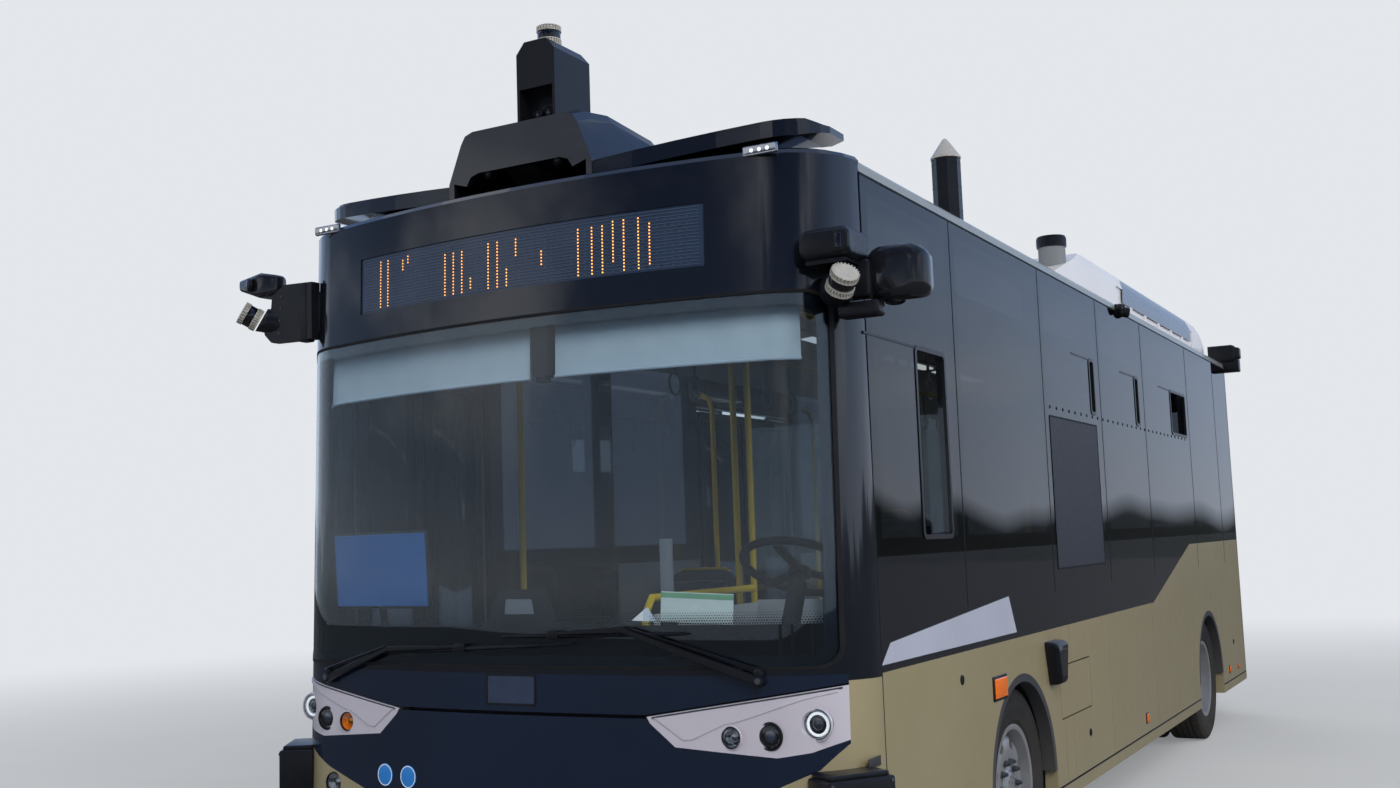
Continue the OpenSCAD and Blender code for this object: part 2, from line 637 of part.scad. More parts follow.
// Wheels. Profiles are given as distance from the wheel's middle plane and radius
module tyre(x) color(black) translate([x, 0, 0]) rotate([0, 90, 0]) rotate_extrude($fn = 72)
  polygon(concat([[bead_r + seat_gap, -98], [bead_r + 16, -104]],
    [for (p = arc([tyre_d / 2 - 34, -tyre_w / 2 + 34], 34, 270, 360, 4)) p],
    [for (p = arc([tyre_d / 2 - 34, tyre_w / 2 - 34], 34, 0, 90, 4)) p],
    [[bead_r + 16, 104], [bead_r + seat_gap, 98]]));
// Barrel and flanges of a rim, its disc at d from the middle plane, and the hub's length
module rim(x, d, h0, h1) color(silver) translate([x, 0, 0]) rotate([0, 90, 0]) difference() {
  union() {
    rotate_extrude($fn = 72) polygon([[bead_r - 12, -108], [bead_r + 14, -108],
      [bead_r + 14, -104 - seat_gap], [bead_r, -98 - seat_gap], [bead_r, 98 + seat_gap],
      [bead_r + 14, 104 + seat_gap], [bead_r + 14, 108], [bead_r - 12, 108]]);
    translate([0, 0, d - 6]) cylinder(r = bead_r - 6, h = 12);
    translate([0, 0, h0]) cylinder(r = 84, h = h1 - h0);
  }
  for (i = [0 : 7]) rotate(i * 45) translate([178, 0, d - cut]) cylinder(r = 28, h = 2 * cut);
}
module hub_bore(x1) translate([0, 0, 0]) rod_x(spindle_r + run_gap, 0, x1);
module front_rim() difference() {
  rim(tyre_mid_x, 70, 0, 96);
  hub_bore(tyre_mid_x + 76 + seat_gap);
}
module rear_rims() difference() {
  union() {
    rim(tyre_mid_x, -70, -90, 96);
    rim(inner_mid_x, 70, -40, 110);
    color(silver) rod_x(84, inner_mid_x, tyre_mid_x);
  }
  hub_bore(tyre_mid_x + 76 + seat_gap);
}
module at_axle(y) translate([0, y, axle_z]) children();
module knuckle() color([0.35, 0.35, 0.38]) {
  translate([kingpin_x, axle_f_y, axle_z - 50 - 22]) cylinder(r = kingpin_r, h = 144);
  for (z = [-50 - 22, 50 + seat_gap]) translate([0, axle_f_y, axle_z + z]) {
    translate([kingpin_x, 0, 0]) cylinder(r = 46, h = 22 - seat_gap);
    span([kingpin_x, -40, 0], [kingpin_x + 78, 40, 22 - seat_gap]);
  }
  span([kingpin_x + 54, axle_f_y - 40, axle_z - 72], [kingpin_x + 78, axle_f_y + 40, axle_z + 72]);
  at_axle(axle_f_y) rod_x(spindle_r, kingpin_x + 60, tyre_mid_x + 76);
}

// Door leaves and the arms that carry them, for a doorway with its jamb at y0.
// s is 1 where the leaf opens from its front jamb and -1 from its rear jamb
column_in = 26;
column_off = 22;
arm_h = 14;
arm_gap = 6;
leaf_z0 = floor_z + arm_h + 2 * arm_gap;
leaf_z1 = header_z - arm_h - 2 * arm_gap;
mid_gap = 10;
function leaf_w(w) = (w - 2 * leaf_gap - mid_gap) / 2;
function arm_l(w) = (leaf_w(w) + column_off + 22) / 2;
module at_jamb(y, w, s) translate([-half_w, y - s * (w / 2 - leaf_gap), 0])
  mirror([0, s < 0 ? 1 : 0, 0]) children();
leaf_frame = 58;
arm_head_z = [leaf_z0 - arm_gap - arm_h, leaf_z1];
module leaf(y, w, s) color(black) at_jamb(y, w, s) {
  difference() {
    span([column_in - leaf_t / 2, 0, leaf_z0], [column_in + leaf_t / 2, leaf_w(w), leaf_z1]);
    for (x = [[column_in - leaf_t, column_in - pane_t / 2], [column_in + pane_t / 2, column_in + leaf_t]])
      extrude_x(x[0], x[1])
        pill([leaf_frame, leaf_z0 + 110], [leaf_w(w) - leaf_frame, leaf_z1 - leaf_frame], 30);
  }
  for (z = arm_head_z) translate([column_in, arm_l(w) - column_off, z])
    cylinder(r = leaf_pin_r, h = arm_gap + arm_h);
}
module door_arm(y, w, s) color(silver) at_jamb(y, w, s) {
  translate([column_in, -column_off, floor_z + seat_gap])
    cylinder(r = column_r, h = header_z - floor_z - 2 * seat_gap);
  for (z = [floor_z + arm_gap, header_z - arm_gap - arm_h]) difference() {
    union() {
      span([column_in - 8, -column_off, z], [column_in + 8, arm_l(w) - column_off, z + arm_h]);
      translate([column_in, arm_l(w) - column_off, z]) cylinder(r = leaf_pin_r + 5, h = arm_h);
    }
    translate([column_in, arm_l(w) - column_off, z - cut])
      cylinder(r = leaf_pin_r + run_gap, h = arm_h + 2 * cut);
  }
}

// Roof equipment. The low wing follows the nose across the roof's front edge, with a hood over its
// middle that shelters the front cameras and carries the sensor tower
wing_in = 64;
wing_l = 190;
wing_z0 = eave_z - 16;
wing_z1 = eave_z + 48;
wing_rise = 58;
wing_x = half_w - 78;
hood_z = eave_z + 275;
hood_y0 = roof_front_y + 62;
hood_l = 570;
hood_t = 24;
hood_mouth_z = eave_z + 98;
// Sections of the hood: distance from its front, half widths at the foot and at the top, top's height
HOOD = [[0, 325, 250, hood_z - 38], [80, 334, 252, hood_z - 10], [200, 352, 272, hood_z],
  [410, 405, 334, hood_z - 58], [hood_l, 420, 330, hood_z - 190]];
// One of its sections, inset by t, with rounded upper edges
function hood_2d(h, t) = both_halves([[0, wing_z0], [h[1] - t, wing_z0], [h[1] - t, wing_z1],
  [h[2] + 16 - t, h[3] - 44 - t], [h[2] - 4 - t, h[3] - 12 - t], [h[2] - 40 - t, h[3] - t], [0, h[3] - t]]);
module hood_body() hull() for (h = HOOD)
  extrude_y(hood_y0 + h[0], hood_y0 + h[0] + 1) polygon(hood_2d(h, 0));
// The wing's front outline rises towards its tips; t lowers its top
function wing_2d(t) = both_halves([[0, wing_z0], [HOOD[0][1], wing_z0], [wing_x - 70, wing_z0 + wing_rise],
  [wing_x, wing_z0 + wing_rise + 18], [wing_x, wing_z1 + wing_rise - 22],
  [wing_x - 60, wing_z1 + wing_rise - t], [HOOD[0][1], wing_z1 - t], [0, wing_z1 - t]]);
module wing_plan(t) difference() {
  polygon(end_plan(nose_r, nose_corner_r, wing_in + t, nose_l));
  translate([0, wing_l - t]) polygon(end_plan(nose_r, nose_corner_r, wing_in + t, nose_l + cut));
}
// The nose's cap, and its body below, for what seats on the nose
module below_cap() {
  nose_cap_body(-seat_gap, 0);
  nose_body(-seat_gap);
}
module nose_body(t) raked() translate([0, y_front, -cut]) linear_extrude(mask_top_z + cut)
  polygon(end_plan(nose_r, nose_corner_r, t, nose_l + 300));
module roof_fairing() color(black) difference() {
  union() {
    // The lower step of the wing's front edge reaches out to the skin, the upper one lies back
    for (t = [[0, 14], [14, 0]]) intersection() {
      translate([0, roof_front_y, wing_z0]) linear_extrude(wing_z1 + wing_rise - wing_z0) wing_plan(t[0]);
      extrude_y(y_front, nose_y + wing_l) polygon(wing_2d(t[1]));
    }
    hood_body();
  }
  // Hollow behind the hood's low mouth
  extrude_y(hood_y0 - cut, hood_y0 + 150) polygon(hood_2d([0, HOOD[0][1], HOOD[0][2], hood_mouth_z], hood_t));
  extrude_y(hood_y0 + hood_t, hood_y0 + HOOD[3][0]) polygon(hood_2d(HOOD[0], hood_t));
  below_cap();
  below_roof();
}
tower_y0 = hood_y0 + 122;
tower_l = 240;
tower_z0 = hood_z - cut;
tower_arch = 70;
// The sensor tower: a chamfered box whose front foot is cut back in an arch over two cameras
module sensor_tower() color(black) {
  difference() {
    extrude_y(tower_y0, tower_y0 + tower_l) polygon(both_halves([[0, tower_z0], [tower_x, tower_z0],
      [tower_x, tower_top_z - 45], [tower_x - 38, tower_top_z], [0, tower_top_z]]));
    extrude_x(-tower_x + 12, tower_x - 12) translate([tower_y0, hood_z + 60]) {
      circle(r = tower_arch);
      square_at([-cut, -2 * tower_arch], [tower_arch, 0]);
    }
    // It seats on the hood
    translate([0, 0, seat_gap]) hood_body();
  }
  for (x = [-26, 26]) translate([x, tower_y0 + tower_arch, hood_z + 42]) rod_y(17, -24, 8);
}
// A scanner with a spinning head stands on a base ring: base, window and finned cap
SCAN = [26, 30, 24];
module scanner() {
  cylinder(r = scan_r, h = SCAN[0]);
  translate([0, 0, SCAN[0]]) cylinder(r = scan_r - 4, h = SCAN[1]);
  translate([0, 0, SCAN[0] + SCAN[1]]) cylinder(r = scan_r, h = SCAN[2]);
}
// Feet of the left and right front scanners, from the corner of the body and the ground, and their directions
LEFT_SCAN = [half_w + 30, y_front + 168, 2316];
RIGHT_SCAN = [-half_w - 164, y_front + 176, 2491];
cup_t = 16;
module aimed(foot) translate(foot) rotate([74, 0, foot[0] > 0 ? 38.5 : -38.5]) children();
module scanners() color(white) {
  translate([0, tower_y0 + 96, tower_top_z + seat_gap]) scanner();
  aimed(LEFT_SCAN) scanner();
  aimed(RIGHT_SCAN) scanner();
}
module cup(foot) aimed(foot) translate([0, 0, -cup_t])
  cylinder(r = scan_r + 5, h = cup_t - seat_gap, $fn = 24);
// Camera box, scanner cup and side camera at the left corner, with the mirror housing behind them
module left_cluster() translate([half_w, y_front, 0]) {
  hull() {
    span([-100, 180, 2405], [66, 330, 2520]);
    span([-105, 150, 2418], [74, 170, 2508]);
  }
  span([-20, 250, 2225], [128, 320, 2275]);
  span([-40, 280, 2290], [90, 340, 2420]);
  hull() {
    span([60, 345, 2278], [272, 400, 2437]);
    span([92, 305, 2290], [235, 320, 2455]);
    span([30, 335, 2310], [60, 390, 2470]);
  }
}
// A plate in two halves that stands out from the right corner, with its camera box above the scanner's cup
module right_cluster() translate([-half_w, y_front, 0]) {
  extrude_y(166, 211) polygon([[140, 2379], [-89, 2384], [-126, 2419], [-136, 2459], [-89, 2529],
    [-84, 2579], [-14, 2619], [140, 2614]]);
  span([66, 116, 2371], [186, 211, 2615]);
  span([6, 201, 2399], [156, 311, 2579]);
  hull() {
    span([-272, 161, 2619], [-264, 231, 2669]);
    span([-154, 151, 2579], [-144, 241, 2685]);
    span([-74, 166, 2589], [-64, 231, 2669]);
  }
}
// Low corner boxes: middle of the face in plan and the direction that they look in
box_face = [half_w + 28, y_front + 180];
box_turn = 56;
CORNER_BOX = [125, 130, 550, 748];
module corner_boxes() both() translate([box_face[0], box_face[1], 0]) rotate(box_turn) {
  span([-CORNER_BOX[0], 0, CORNER_BOX[2]], [CORNER_BOX[0], CORNER_BOX[1], CORNER_BOX[3]]);
  span([-CORNER_BOX[0] + 15, 12, CORNER_BOX[3]], [CORNER_BOX[0] - 15, CORNER_BOX[1], CORNER_BOX[3] + 16]);
}
module corner_brackets() color(black) {
  difference() {
    union() {
      left_cluster();
      hull() {
        cup(LEFT_SCAN);
        translate([half_w - 28, y_front + 270, 2262]) cylinder(r = 58, h = 130, $fn = 24);
      }
      right_cluster();
      hull() {
        cup(RIGHT_SCAN);
        translate([-half_w - 54, y_front + 201, 2409]) cylinder(r = 46, h = 90, $fn = 24);
      }
      corner_boxes();
    }
    nose_body(-seat_gap);
    span([-half_w - seat_gap, nose_y - cut, 0], [half_w + seat_gap, tail_y, roof_top_z]);
    for (f = [LEFT_SCAN, RIGHT_SCAN]) aimed(f) cylinder(r = scan_r + 8, h = SCAN[0]);
  }
  rear_sensor_box();
}
rear_box_y = y_rear - 150;
module rear_sensor_box() difference() {
  both() translate([half_w, rear_box_y, 0]) {
    hull() {
      span([-120, -70, eave_z - 20], [70, 70, eave_z + 120]);
      span([80, -50, eave_z + 5], [120, 50, eave_z + 95]);
    }
    span([-60, -50, 2740], [110, 50, eave_z]);
  }
  tail_cap_body(-seat_gap, 0);
  translate([0, y_rear, 0]) mirror([0, 1, 0]) linear_extrude(mask_top_z)
    polygon(end_plan(tail_r, tail_corner_r, -seat_gap, tail_l + 100));
}
// The long roof unit: sloping ends, shoulders, and a louvred side panel in its rear part
ac_x = half_w - 165;
ac_top_x = ac_x - 150;
ac_y0 = axle_f_y + 1560;
ac_slope = 880;
louvres = 6;
louvre_y = ac_y0 + 1500;
louvre_step = (ac_l - 1500 - ac_slope / 2) / louvres;
module ac_body() intersection() {
  extrude_y(ac_y0, ac_y0 + ac_l) polygon(both_halves([[0, eave_z - 40], [ac_x, eave_z - 40],
    [ac_x, ac_top_z - 140], [ac_x - 22, ac_top_z - 80], [ac_x - 82, ac_top_z - 25], [ac_top_x, ac_top_z],
    [0, ac_top_z + 20]]));
  translate([0, ac_y0, 0]) extrude_x(-half_w, half_w) polygon([[0, eave_z - 40], [0, eave_z + 70],
    [ac_slope - 200, ac_top_z - 65], [ac_slope + 450, ac_top_z + 20], [ac_l - ac_slope / 2, ac_top_z + 20],
    [ac_l, eave_z + 130], [ac_l, eave_z - 40]]);
}
module air_conditioner() color(white) difference() {
  ac_body();
  below_roof();
  // Louvres of the side panels
  both() for (i = [0 : louvres - 1]) translate([0, louvre_y + i * louvre_step, 0])
    span([ac_x - 12, 0, eave_z + 60], [ac_x + cut, louvre_step - 60, ac_top_z - 145]);
}
// Roof fittings: the beacon's post with its cone, and the vent on the roof unit's front slope
post_pos = [half_w - 268, axle_f_y + 160, 0];
post_z = eave_z + 396;
post_r = 68;
vent_pos = [half_w - 250, ac_y0 + 310, 0];
vent_z = eave_z + 262;
vent_r = 84;
fitting_foot = eave_z - 40;
module roof_fittings() {
  color(black) difference() {
    union() {
      translate(post_pos + [0, 0, fitting_foot]) cylinder(r = post_r, h = post_z - fitting_foot, $fn = 8);
      translate(vent_pos + [0, 0, fitting_foot]) cylinder(r = vent_r - 8, h = vent_z - fitting_foot);
      translate(vent_pos + [0, 0, vent_z]) cylinder(r = vent_r, h = 66);
    }
    below_roof();
    translate([0, 0, seat_gap]) ac_body();
  }
  color(white) translate(post_pos + [0, 0, post_z]) rotate_extrude()
    polygon([[0, 0], [post_r + 4, 0], [post_r + 4, 14], [14, 96], [0, 100]]);
  // Twin cameras on the cantrails
  color(black) both() difference() {
    union() for (d = [-75, 75]) translate([half_w + 22, axle_f_y + 2340 + d, rail_z + 8]) sphere(r = 40);
    below_roof();
    span([0, nose_y, gutter_z], [half_w + seat_gap, tail_y, rail_z + 20]);
  }
}

// Cab and cabin
dash_z = 1060;
dash_z0 = 760;
dash_depth = 620;
// The dashboard ends beside the front door, where its front leaf swings in
dash_door_x = 560;
module dashboard() color(dark) difference() {
  union() {
    intersection() {
      span([-half_w, y_front, dash_z0], [half_w, y_front + dash_depth, dash_z]);
      raked() translate([0, y_front, 0]) linear_extrude(2 * dash_z)
        polygon(end_plan(nose_r, nose_corner_r, wall_t + seat_gap, dash_depth));
    }
    // Foot of the console on the floor
    span([-300, nose_y + 20, floor_z], [cab_x0 - seat_gap, y_front + dash_depth - 10, dash_z0 + cut]);
    at_wheel() translate([0, 0, -column_tip]) cylinder(r = 34, h = column_tip - 60);
  }
  span([-half_w, nose_y - 20, dash_z0 - cut], [-dash_door_x, y_front + dash_depth + cut, dash_z + cut]);
  at_wheel() translate([0, 0, -shaft_l - seat_gap]) cylinder(r = shaft_r + run_gap, h = column_tip);
}
driver_x = half_w - 402;
wheel_pos = [driver_x, y_front + 700, 1400];
wheel_tilt = 28;
shaft_r = 20;
shaft_l = 200;
column_tip = 440;
module at_wheel() translate(wheel_pos) rotate([-wheel_tilt, 0, 0]) children();
module steering_wheel() color(dark) at_wheel() {
  rotate_extrude() translate([215, 0]) circle(r = 15, $fn = 16);
  translate([0, 0, -30]) cylinder(r = 42, h = 24);
  for (a = [30, 150, 270]) rotate(a) span([20, -14, -24], [212, 14, -8]);
  translate([0, 0, -shaft_l]) cylinder(r = shaft_r, h = shaft_l - 20);
}
seat_w = 440;
seat_z = 400;
seat_back = 620;
module seat_solid() translate([0, 0, seat_z]) {
  span([-seat_w / 2, -220, 0], [seat_w / 2, 220, 70]);
  span([-seat_w / 2, 160, 0], [seat_w / 2, 220, seat_back]);
}
cab_end_y = axle_f_y - box_r - 12;
screen_t = 6;
module driver_seat() color(dark) translate([driver_x, cab_end_y - 268, cab_z]) {
  seat_solid();
  span([-150, -150, seat_gap], [150, 150, seat_z]);
}
// Partition behind the driver, on the platform's rear edge
module driver_screen() color(glass) translate([0, cab_end_y - 18 - screen_t, 0])
  span([cab_x0, 0, cab_z + seat_gap], [inner_x, screen_t, header_z - 30]);
// Passenger seats: side of the bus and distance behind the front axle
seat_x = half_w - 337;
SEATS = [[-1, 790], [1, 790], [1, 1580], [1, 2360], [1, 3140], [-1, 3260]];
module passenger_seats() color([0.2, 0.3, 0.5]) for (s = SEATS)
  translate([s[0] * seat_x, axle_f_y + s[1], floor_z]) {
  seat_solid();
  span([-120, -120, seat_gap], [120, 120, seat_z]);
}
module grab_rails() color([0.85, 0.75, 0.2]) difference() {
  both() for (d = [540, 2940]) translate([420, axle_f_y + d, floor_z + seat_gap])
    cylinder(r = 17, h = roof_top_z - floor_z);
  // They end under the ceiling
  extrude_y(nose_y, tail_y) difference() {
    square_at([-half_w, rail_z], [half_w, 2 * roof_top_z]);
    translate([0, -seat_gap]) polygon(roof_section(roof_t, 0));
  }
}
blind_z0 = 2110;
blind_t = 3;
// Roller blinds at the top of the windshield: start and end of the two
BLINDS = [[-1090, 52], [164, 1070]];
// Each has a cassette and the cloth that hangs from it
module roller_blinds() color(white) for (x = BLINDS) {
  intersection() {
    nose_shell(wall_t + seat_gap, wall_t + 50);
    nose_cut() square_at([x[0], screen_z1 + 6], [x[1], display_z0 - 12]);
  }
  intersection() {
    nose_shell(wall_t + 22, wall_t + 22 + blind_t);
    nose_cut() square_at([x[0] + 15, blind_z0], [x[1] - 15, screen_z1 + 8]);
  }
}
module route_display() color(black) intersection() {
  nose_shell(6, wall_t + 30);
  nose_cut() display_2d(0);
}
// Wipers: pivot, end of the arm and the blade's two ends, seen from the front
WIPERS = [[[945, 1061], [468, 1205], [710, 1208], [-120, 1172]],
  [[-890, 1040], [-554, 1141], [-880, 1128], [-300, 1150]]];
wiper_lift = 22;
module wipers() color(black) for (w = WIPERS) {
  // The blade follows the glass
  intersection() {
    nose_shell(-wiper_lift, -seat_gap);
    nose_cut() hull() for (p = [w[2], w[3]]) translate(p) circle(r = 9, $fn = 16);
  }
  intersection() {
    nose_shell(-wiper_lift - 12, -8);
    nose_cut() hull() for (p = [w[0], w[1]]) translate(p) circle(r = 11, $fn = 16);
  }
  intersection() {
    nose_shell(-wiper_lift - 12, -seat_gap);
    nose_cut() translate(w[0]) circle(r = 20);
  }
}
// Small fittings of the sides. Side lamps: distance behind the front axle on the left and on the right,
// then height, length, tallness and how far they stand out
SIDE_LAMPS = [[-310, -310, 870, 180, 100, 12], [2377, 1240, 414, 60, 60, 10], [5295, 5295, 414, 60, 60, 10],
  [5711, 5711, 401, 90, 40, 6]];
module side_lamps(side) color([0.9, 0.5, 0.1]) for (l = SIDE_LAMPS)
  translate([half_w, axle_f_y + l[side], l[2]]) span([0, -l[3] / 2, -l[4] / 2], [l[5], l[3] / 2, l[4] / 2]);
module side_fittings() {
  side_lamps(0);
  mirror([1, 0, 0]) side_lamps(1);
  // Tapered covers behind the front wheel arches
  color(dark) both() translate([half_w, axle_f_y + arch_r, 0]) extrude_x(0, 60)
    polygon([[-72, 800], [50, 800], [114, 1000], [-114, 1000]]);
}

chassis();
front_axle();
rear_axle();
battery_pack();
floor();
wheel_boxes();
left_side();
right_side();
left_window_band();
right_window_band();
window_panes();
cantrails();
roof();
front_bumper();
front_mask();
windshield();
lamp_housings();
lamps();
rear_panel();
rear_mask();
arch_lips();
roof_fairing();
sensor_tower();
corner_brackets();
scanners();
air_conditioner();
roof_fittings();
dashboard();
driver_seat();
driver_screen();
passenger_seats();
grab_rails();
roller_blinds();
route_display();
wipers();
side_fittings();
knuckle();  // knuckle_left
mirror([1, 0, 0]) knuckle();  // knuckle_right
at_axle(axle_f_y) tyre(tyre_mid_x);  // tyre_front_left
at_axle(axle_f_y) tyre(-tyre_mid_x);  // tyre_front_right
at_axle(axle_r_y) { tyre(tyre_mid_x); tyre(inner_mid_x); }  // tyres_rear_left
at_axle(axle_r_y) { tyre(-tyre_mid_x); tyre(-inner_mid_x); }  // tyres_rear_right
at_axle(axle_f_y) front_rim();  // rim_front_left
at_axle(axle_f_y) mirror([1, 0, 0]) front_rim();  // rim_front_right
at_axle(axle_r_y) rear_rims();  // rims_rear_left
at_axle(axle_r_y) mirror([1, 0, 0]) rear_rims();  // rims_rear_right
steering_wheel();
leaf(door_front_y, door_front_w, 1);  // front_door_leaf_1
leaf(door_front_y, door_front_w, -1);  // front_door_leaf_2
leaf(door_mid_y, door_mid_w, 1);  // mid_door_leaf_1
leaf(door_mid_y, door_mid_w, -1);  // mid_door_leaf_2
door_arm(door_front_y, door_front_w, 1);  // front_door_arm_1
door_arm(door_front_y, door_front_w, -1);  // front_door_arm_2
door_arm(door_mid_y, door_mid_w, 1);  // mid_door_arm_1
door_arm(door_mid_y, door_mid_w, -1);  // mid_door_arm_2
front_panel();
side_flap();
rear_hatch();
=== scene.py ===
"""Looks of the airport passenger bus: paint, glass, lamps, cab, seats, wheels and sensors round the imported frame.

Metres, +Z up. The front faces -Y and the driver's side is +X, as in the CAD part.
"""
import math

import bmesh
import bpy
from mathutils import Matrix, Vector

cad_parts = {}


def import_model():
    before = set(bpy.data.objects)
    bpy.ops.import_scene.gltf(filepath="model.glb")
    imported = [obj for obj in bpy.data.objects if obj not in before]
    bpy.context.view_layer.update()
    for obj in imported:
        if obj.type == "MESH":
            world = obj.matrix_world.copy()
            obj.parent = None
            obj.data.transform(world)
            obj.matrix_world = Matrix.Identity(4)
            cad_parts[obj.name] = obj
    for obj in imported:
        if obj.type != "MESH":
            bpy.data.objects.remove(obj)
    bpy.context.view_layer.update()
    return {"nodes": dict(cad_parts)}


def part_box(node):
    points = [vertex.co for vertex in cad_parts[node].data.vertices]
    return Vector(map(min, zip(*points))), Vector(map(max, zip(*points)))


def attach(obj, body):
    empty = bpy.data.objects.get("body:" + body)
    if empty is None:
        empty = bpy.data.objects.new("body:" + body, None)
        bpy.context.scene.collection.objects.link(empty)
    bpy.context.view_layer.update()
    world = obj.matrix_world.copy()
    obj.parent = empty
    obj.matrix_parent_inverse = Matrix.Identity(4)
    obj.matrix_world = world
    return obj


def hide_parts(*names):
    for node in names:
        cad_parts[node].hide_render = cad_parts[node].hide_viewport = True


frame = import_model()
NODES = frame["nodes"]

# ---------------------------------------------------------------- camera, floor and light
PHOTO_W = 1400
SENSOR = 36.0
CAM_F = 1400.95
CAM_AT = Vector((3.0325, -8.127, 1.5077))
CAM_YAW, CAM_PITCH, CAM_ROLL = 0.5098, 0.1047, -0.0344
BACKDROP = (228, 231, 235)


def camera():
    """The photograph's camera, from its yaw, pitch and roll."""
    sy, cy = math.sin(CAM_YAW), math.cos(CAM_YAW)
    sp, cp = math.sin(CAM_PITCH), math.cos(CAM_PITCH)
    forward = Vector((-sy * cp, cy * cp, sp))
    right = Vector((cy, sy, 0))
    up = right.cross(forward)
    sr, cr = math.sin(CAM_ROLL), math.cos(CAM_ROLL)
    x_axis = cr * right + sr * up
    y_axis = cr * up - sr * right
    data = bpy.data.cameras.new("camera")
    data.sensor_width = SENSOR
    data.lens = CAM_F * SENSOR / PHOTO_W
    data.clip_end = 400
    cam = link_in("camera", data)
    cam.matrix_world = Matrix((
        (x_axis.x, y_axis.x, -forward.x, CAM_AT.x),
        (x_axis.y, y_axis.y, -forward.y, CAM_AT.y),
        (x_axis.z, y_axis.z, -forward.z, CAM_AT.z),
        (0, 0, 0, 1)))
    bpy.context.scene.camera = cam


def lin(*rgb):
    """A colour given as 0 to 255 sRGB, in Blender's linear values."""
    out = [c / 255 / 12.92 if c <= 10 else ((c / 255 + 0.055) / 1.055) ** 2.4 for c in rgb]
    return (*out, 1.0)


MATS = {}


class Graph:
    """Short calls for building one node tree. A value is a plain one, or another node's output."""

    def __init__(self, tree):
        self.tree = tree

    def feed(self, node, values):
        for socket, value in values.items():
            if isinstance(value, bpy.types.NodeSocket):
                self.tree.links.new(value, node.inputs[socket])
            else:
                node.inputs[socket].default_value = value
        return node

    def add(self, kind, values, **settings):
        node = self.tree.nodes.new("ShaderNode" + kind)
        for key, value in settings.items():
            setattr(node, key, value)
        return self.feed(node, values)

    def noise(self, vector, scale, detail, rough=0.5):
        return self.add("TexNoise", {"Vector": vector, "Scale": scale, "Detail": detail,
                                     "Roughness": rough}).outputs["Fac"]

    def span(self, value, lo=0.0, hi=1.0, to_lo=0.0, to_hi=1.0, kind="LINEAR"):
        """Carries the range from lo to hi over to another."""
        return self.add("MapRange", {"Value": value, "From Min": lo, "From Max": hi, "To Min": to_lo,
                                     "To Max": to_hi}, interpolation_type=kind).outputs[0]

    def scaled(self, vector, scale):
        return self.add("Mapping", {"Vector": vector, "Scale": scale}, vector_type="POINT").outputs[0]

    def maths(self, operation, a, b):
        return self.add("Math", {0: a, 1: b}, operation=operation).outputs[0]

    def blend(self, fac, a, b, kind="MIX"):
        """Mixes two colours."""
        return self.add("Mix", {"Factor": fac, 6: a, 7: b}, data_type="RGBA", blend_type=kind).outputs[2]

    def shader(self, kind, values):
        return self.add(kind, values).outputs[0]

    def bump(self, height, strength, distance):
        return self.add("Bump", {"Height": height, "Strength": strength, "Distance": distance}).outputs[0]

    def ramp(self, fac, *marks):
        """A colour ramp through marks of (position, colour)."""
        node = self.add("ValToRGB", {"Fac": fac})
        elements = node.color_ramp.elements
        for i, (at, colour) in enumerate(marks):
            mark = elements[i] if i < 2 else elements.new(at)
            mark.position, mark.color = at, colour
        return node.outputs["Color"]


def new_material(name, slot=None):
    """An empty material, the calls for its nodes, its shader and its object coordinates."""
    mat = MATS[name] = bpy.data.materials.new(name)
    mat.use_nodes = True
    if slot:
        mat["slot"] = slot
    g = Graph(mat.node_tree)
    return mat, g, mat.node_tree.nodes["Principled BSDF"], g.add("TexCoord", {}).outputs["Object"]


def link_in(name, data):
    """A new object in the scene's collection."""
    obj = bpy.data.objects.new(name, data)
    bpy.context.scene.collection.objects.link(obj)
    return obj


FLOOR_HALF = 60.0
FADE_FROM, FADE_TO = 5.0, 17.0


def stage_floor():
    """A pale floor, which fades into the pale backdrop away from the bus."""
    mat, g, shader, coords = new_material("floor_pale")
    g.feed(shader, {"Roughness": 0.85, "Specular IOR Level": 0.2,
                    "Base Color": g.ramp(g.noise(coords, 0.6, 6.0), (0, lin(178, 180, 182)), (1, lin(192, 193, 194)))})
    away = g.add("VectorMath", {0: coords}, operation="LENGTH").outputs["Value"]
    path = g.add("LightPath", {}).outputs
    seen = g.maths("MAXIMUM", path["Is Camera Ray"], path["Is Transmission Ray"])
    amount = g.maths("MULTIPLY", seen, g.span(away, FADE_FROM, FADE_TO, 0.25, kind="SMOOTHSTEP"))
    plain = g.shader("Emission", {"Color": lin(*BACKDROP), "Strength": 1.0})
    mix = g.shader("MixShader", {0: amount, 1: shader.outputs[0], 2: plain})
    # Paint mirrors the floor as dark ground
    ground = g.shader("Emission", {"Color": lin(72, 74, 78), "Strength": 1.0})
    last = g.shader("MixShader", {0: path["Is Glossy Ray"], 1: mix, 2: ground})
    g.feed(mat.node_tree.nodes["Material Output"], {"Surface": last})
    mesh = bpy.data.meshes.new("floor")
    h = FLOOR_HALF
    mesh.from_pydata([(-h, -h, 0), (h, -h, 0), (h, h, 0), (-h, h, 0)], [], [(0, 1, 2, 3)])
    mesh.materials.append(mat)
    floor = link_in("stage_floor", mesh)


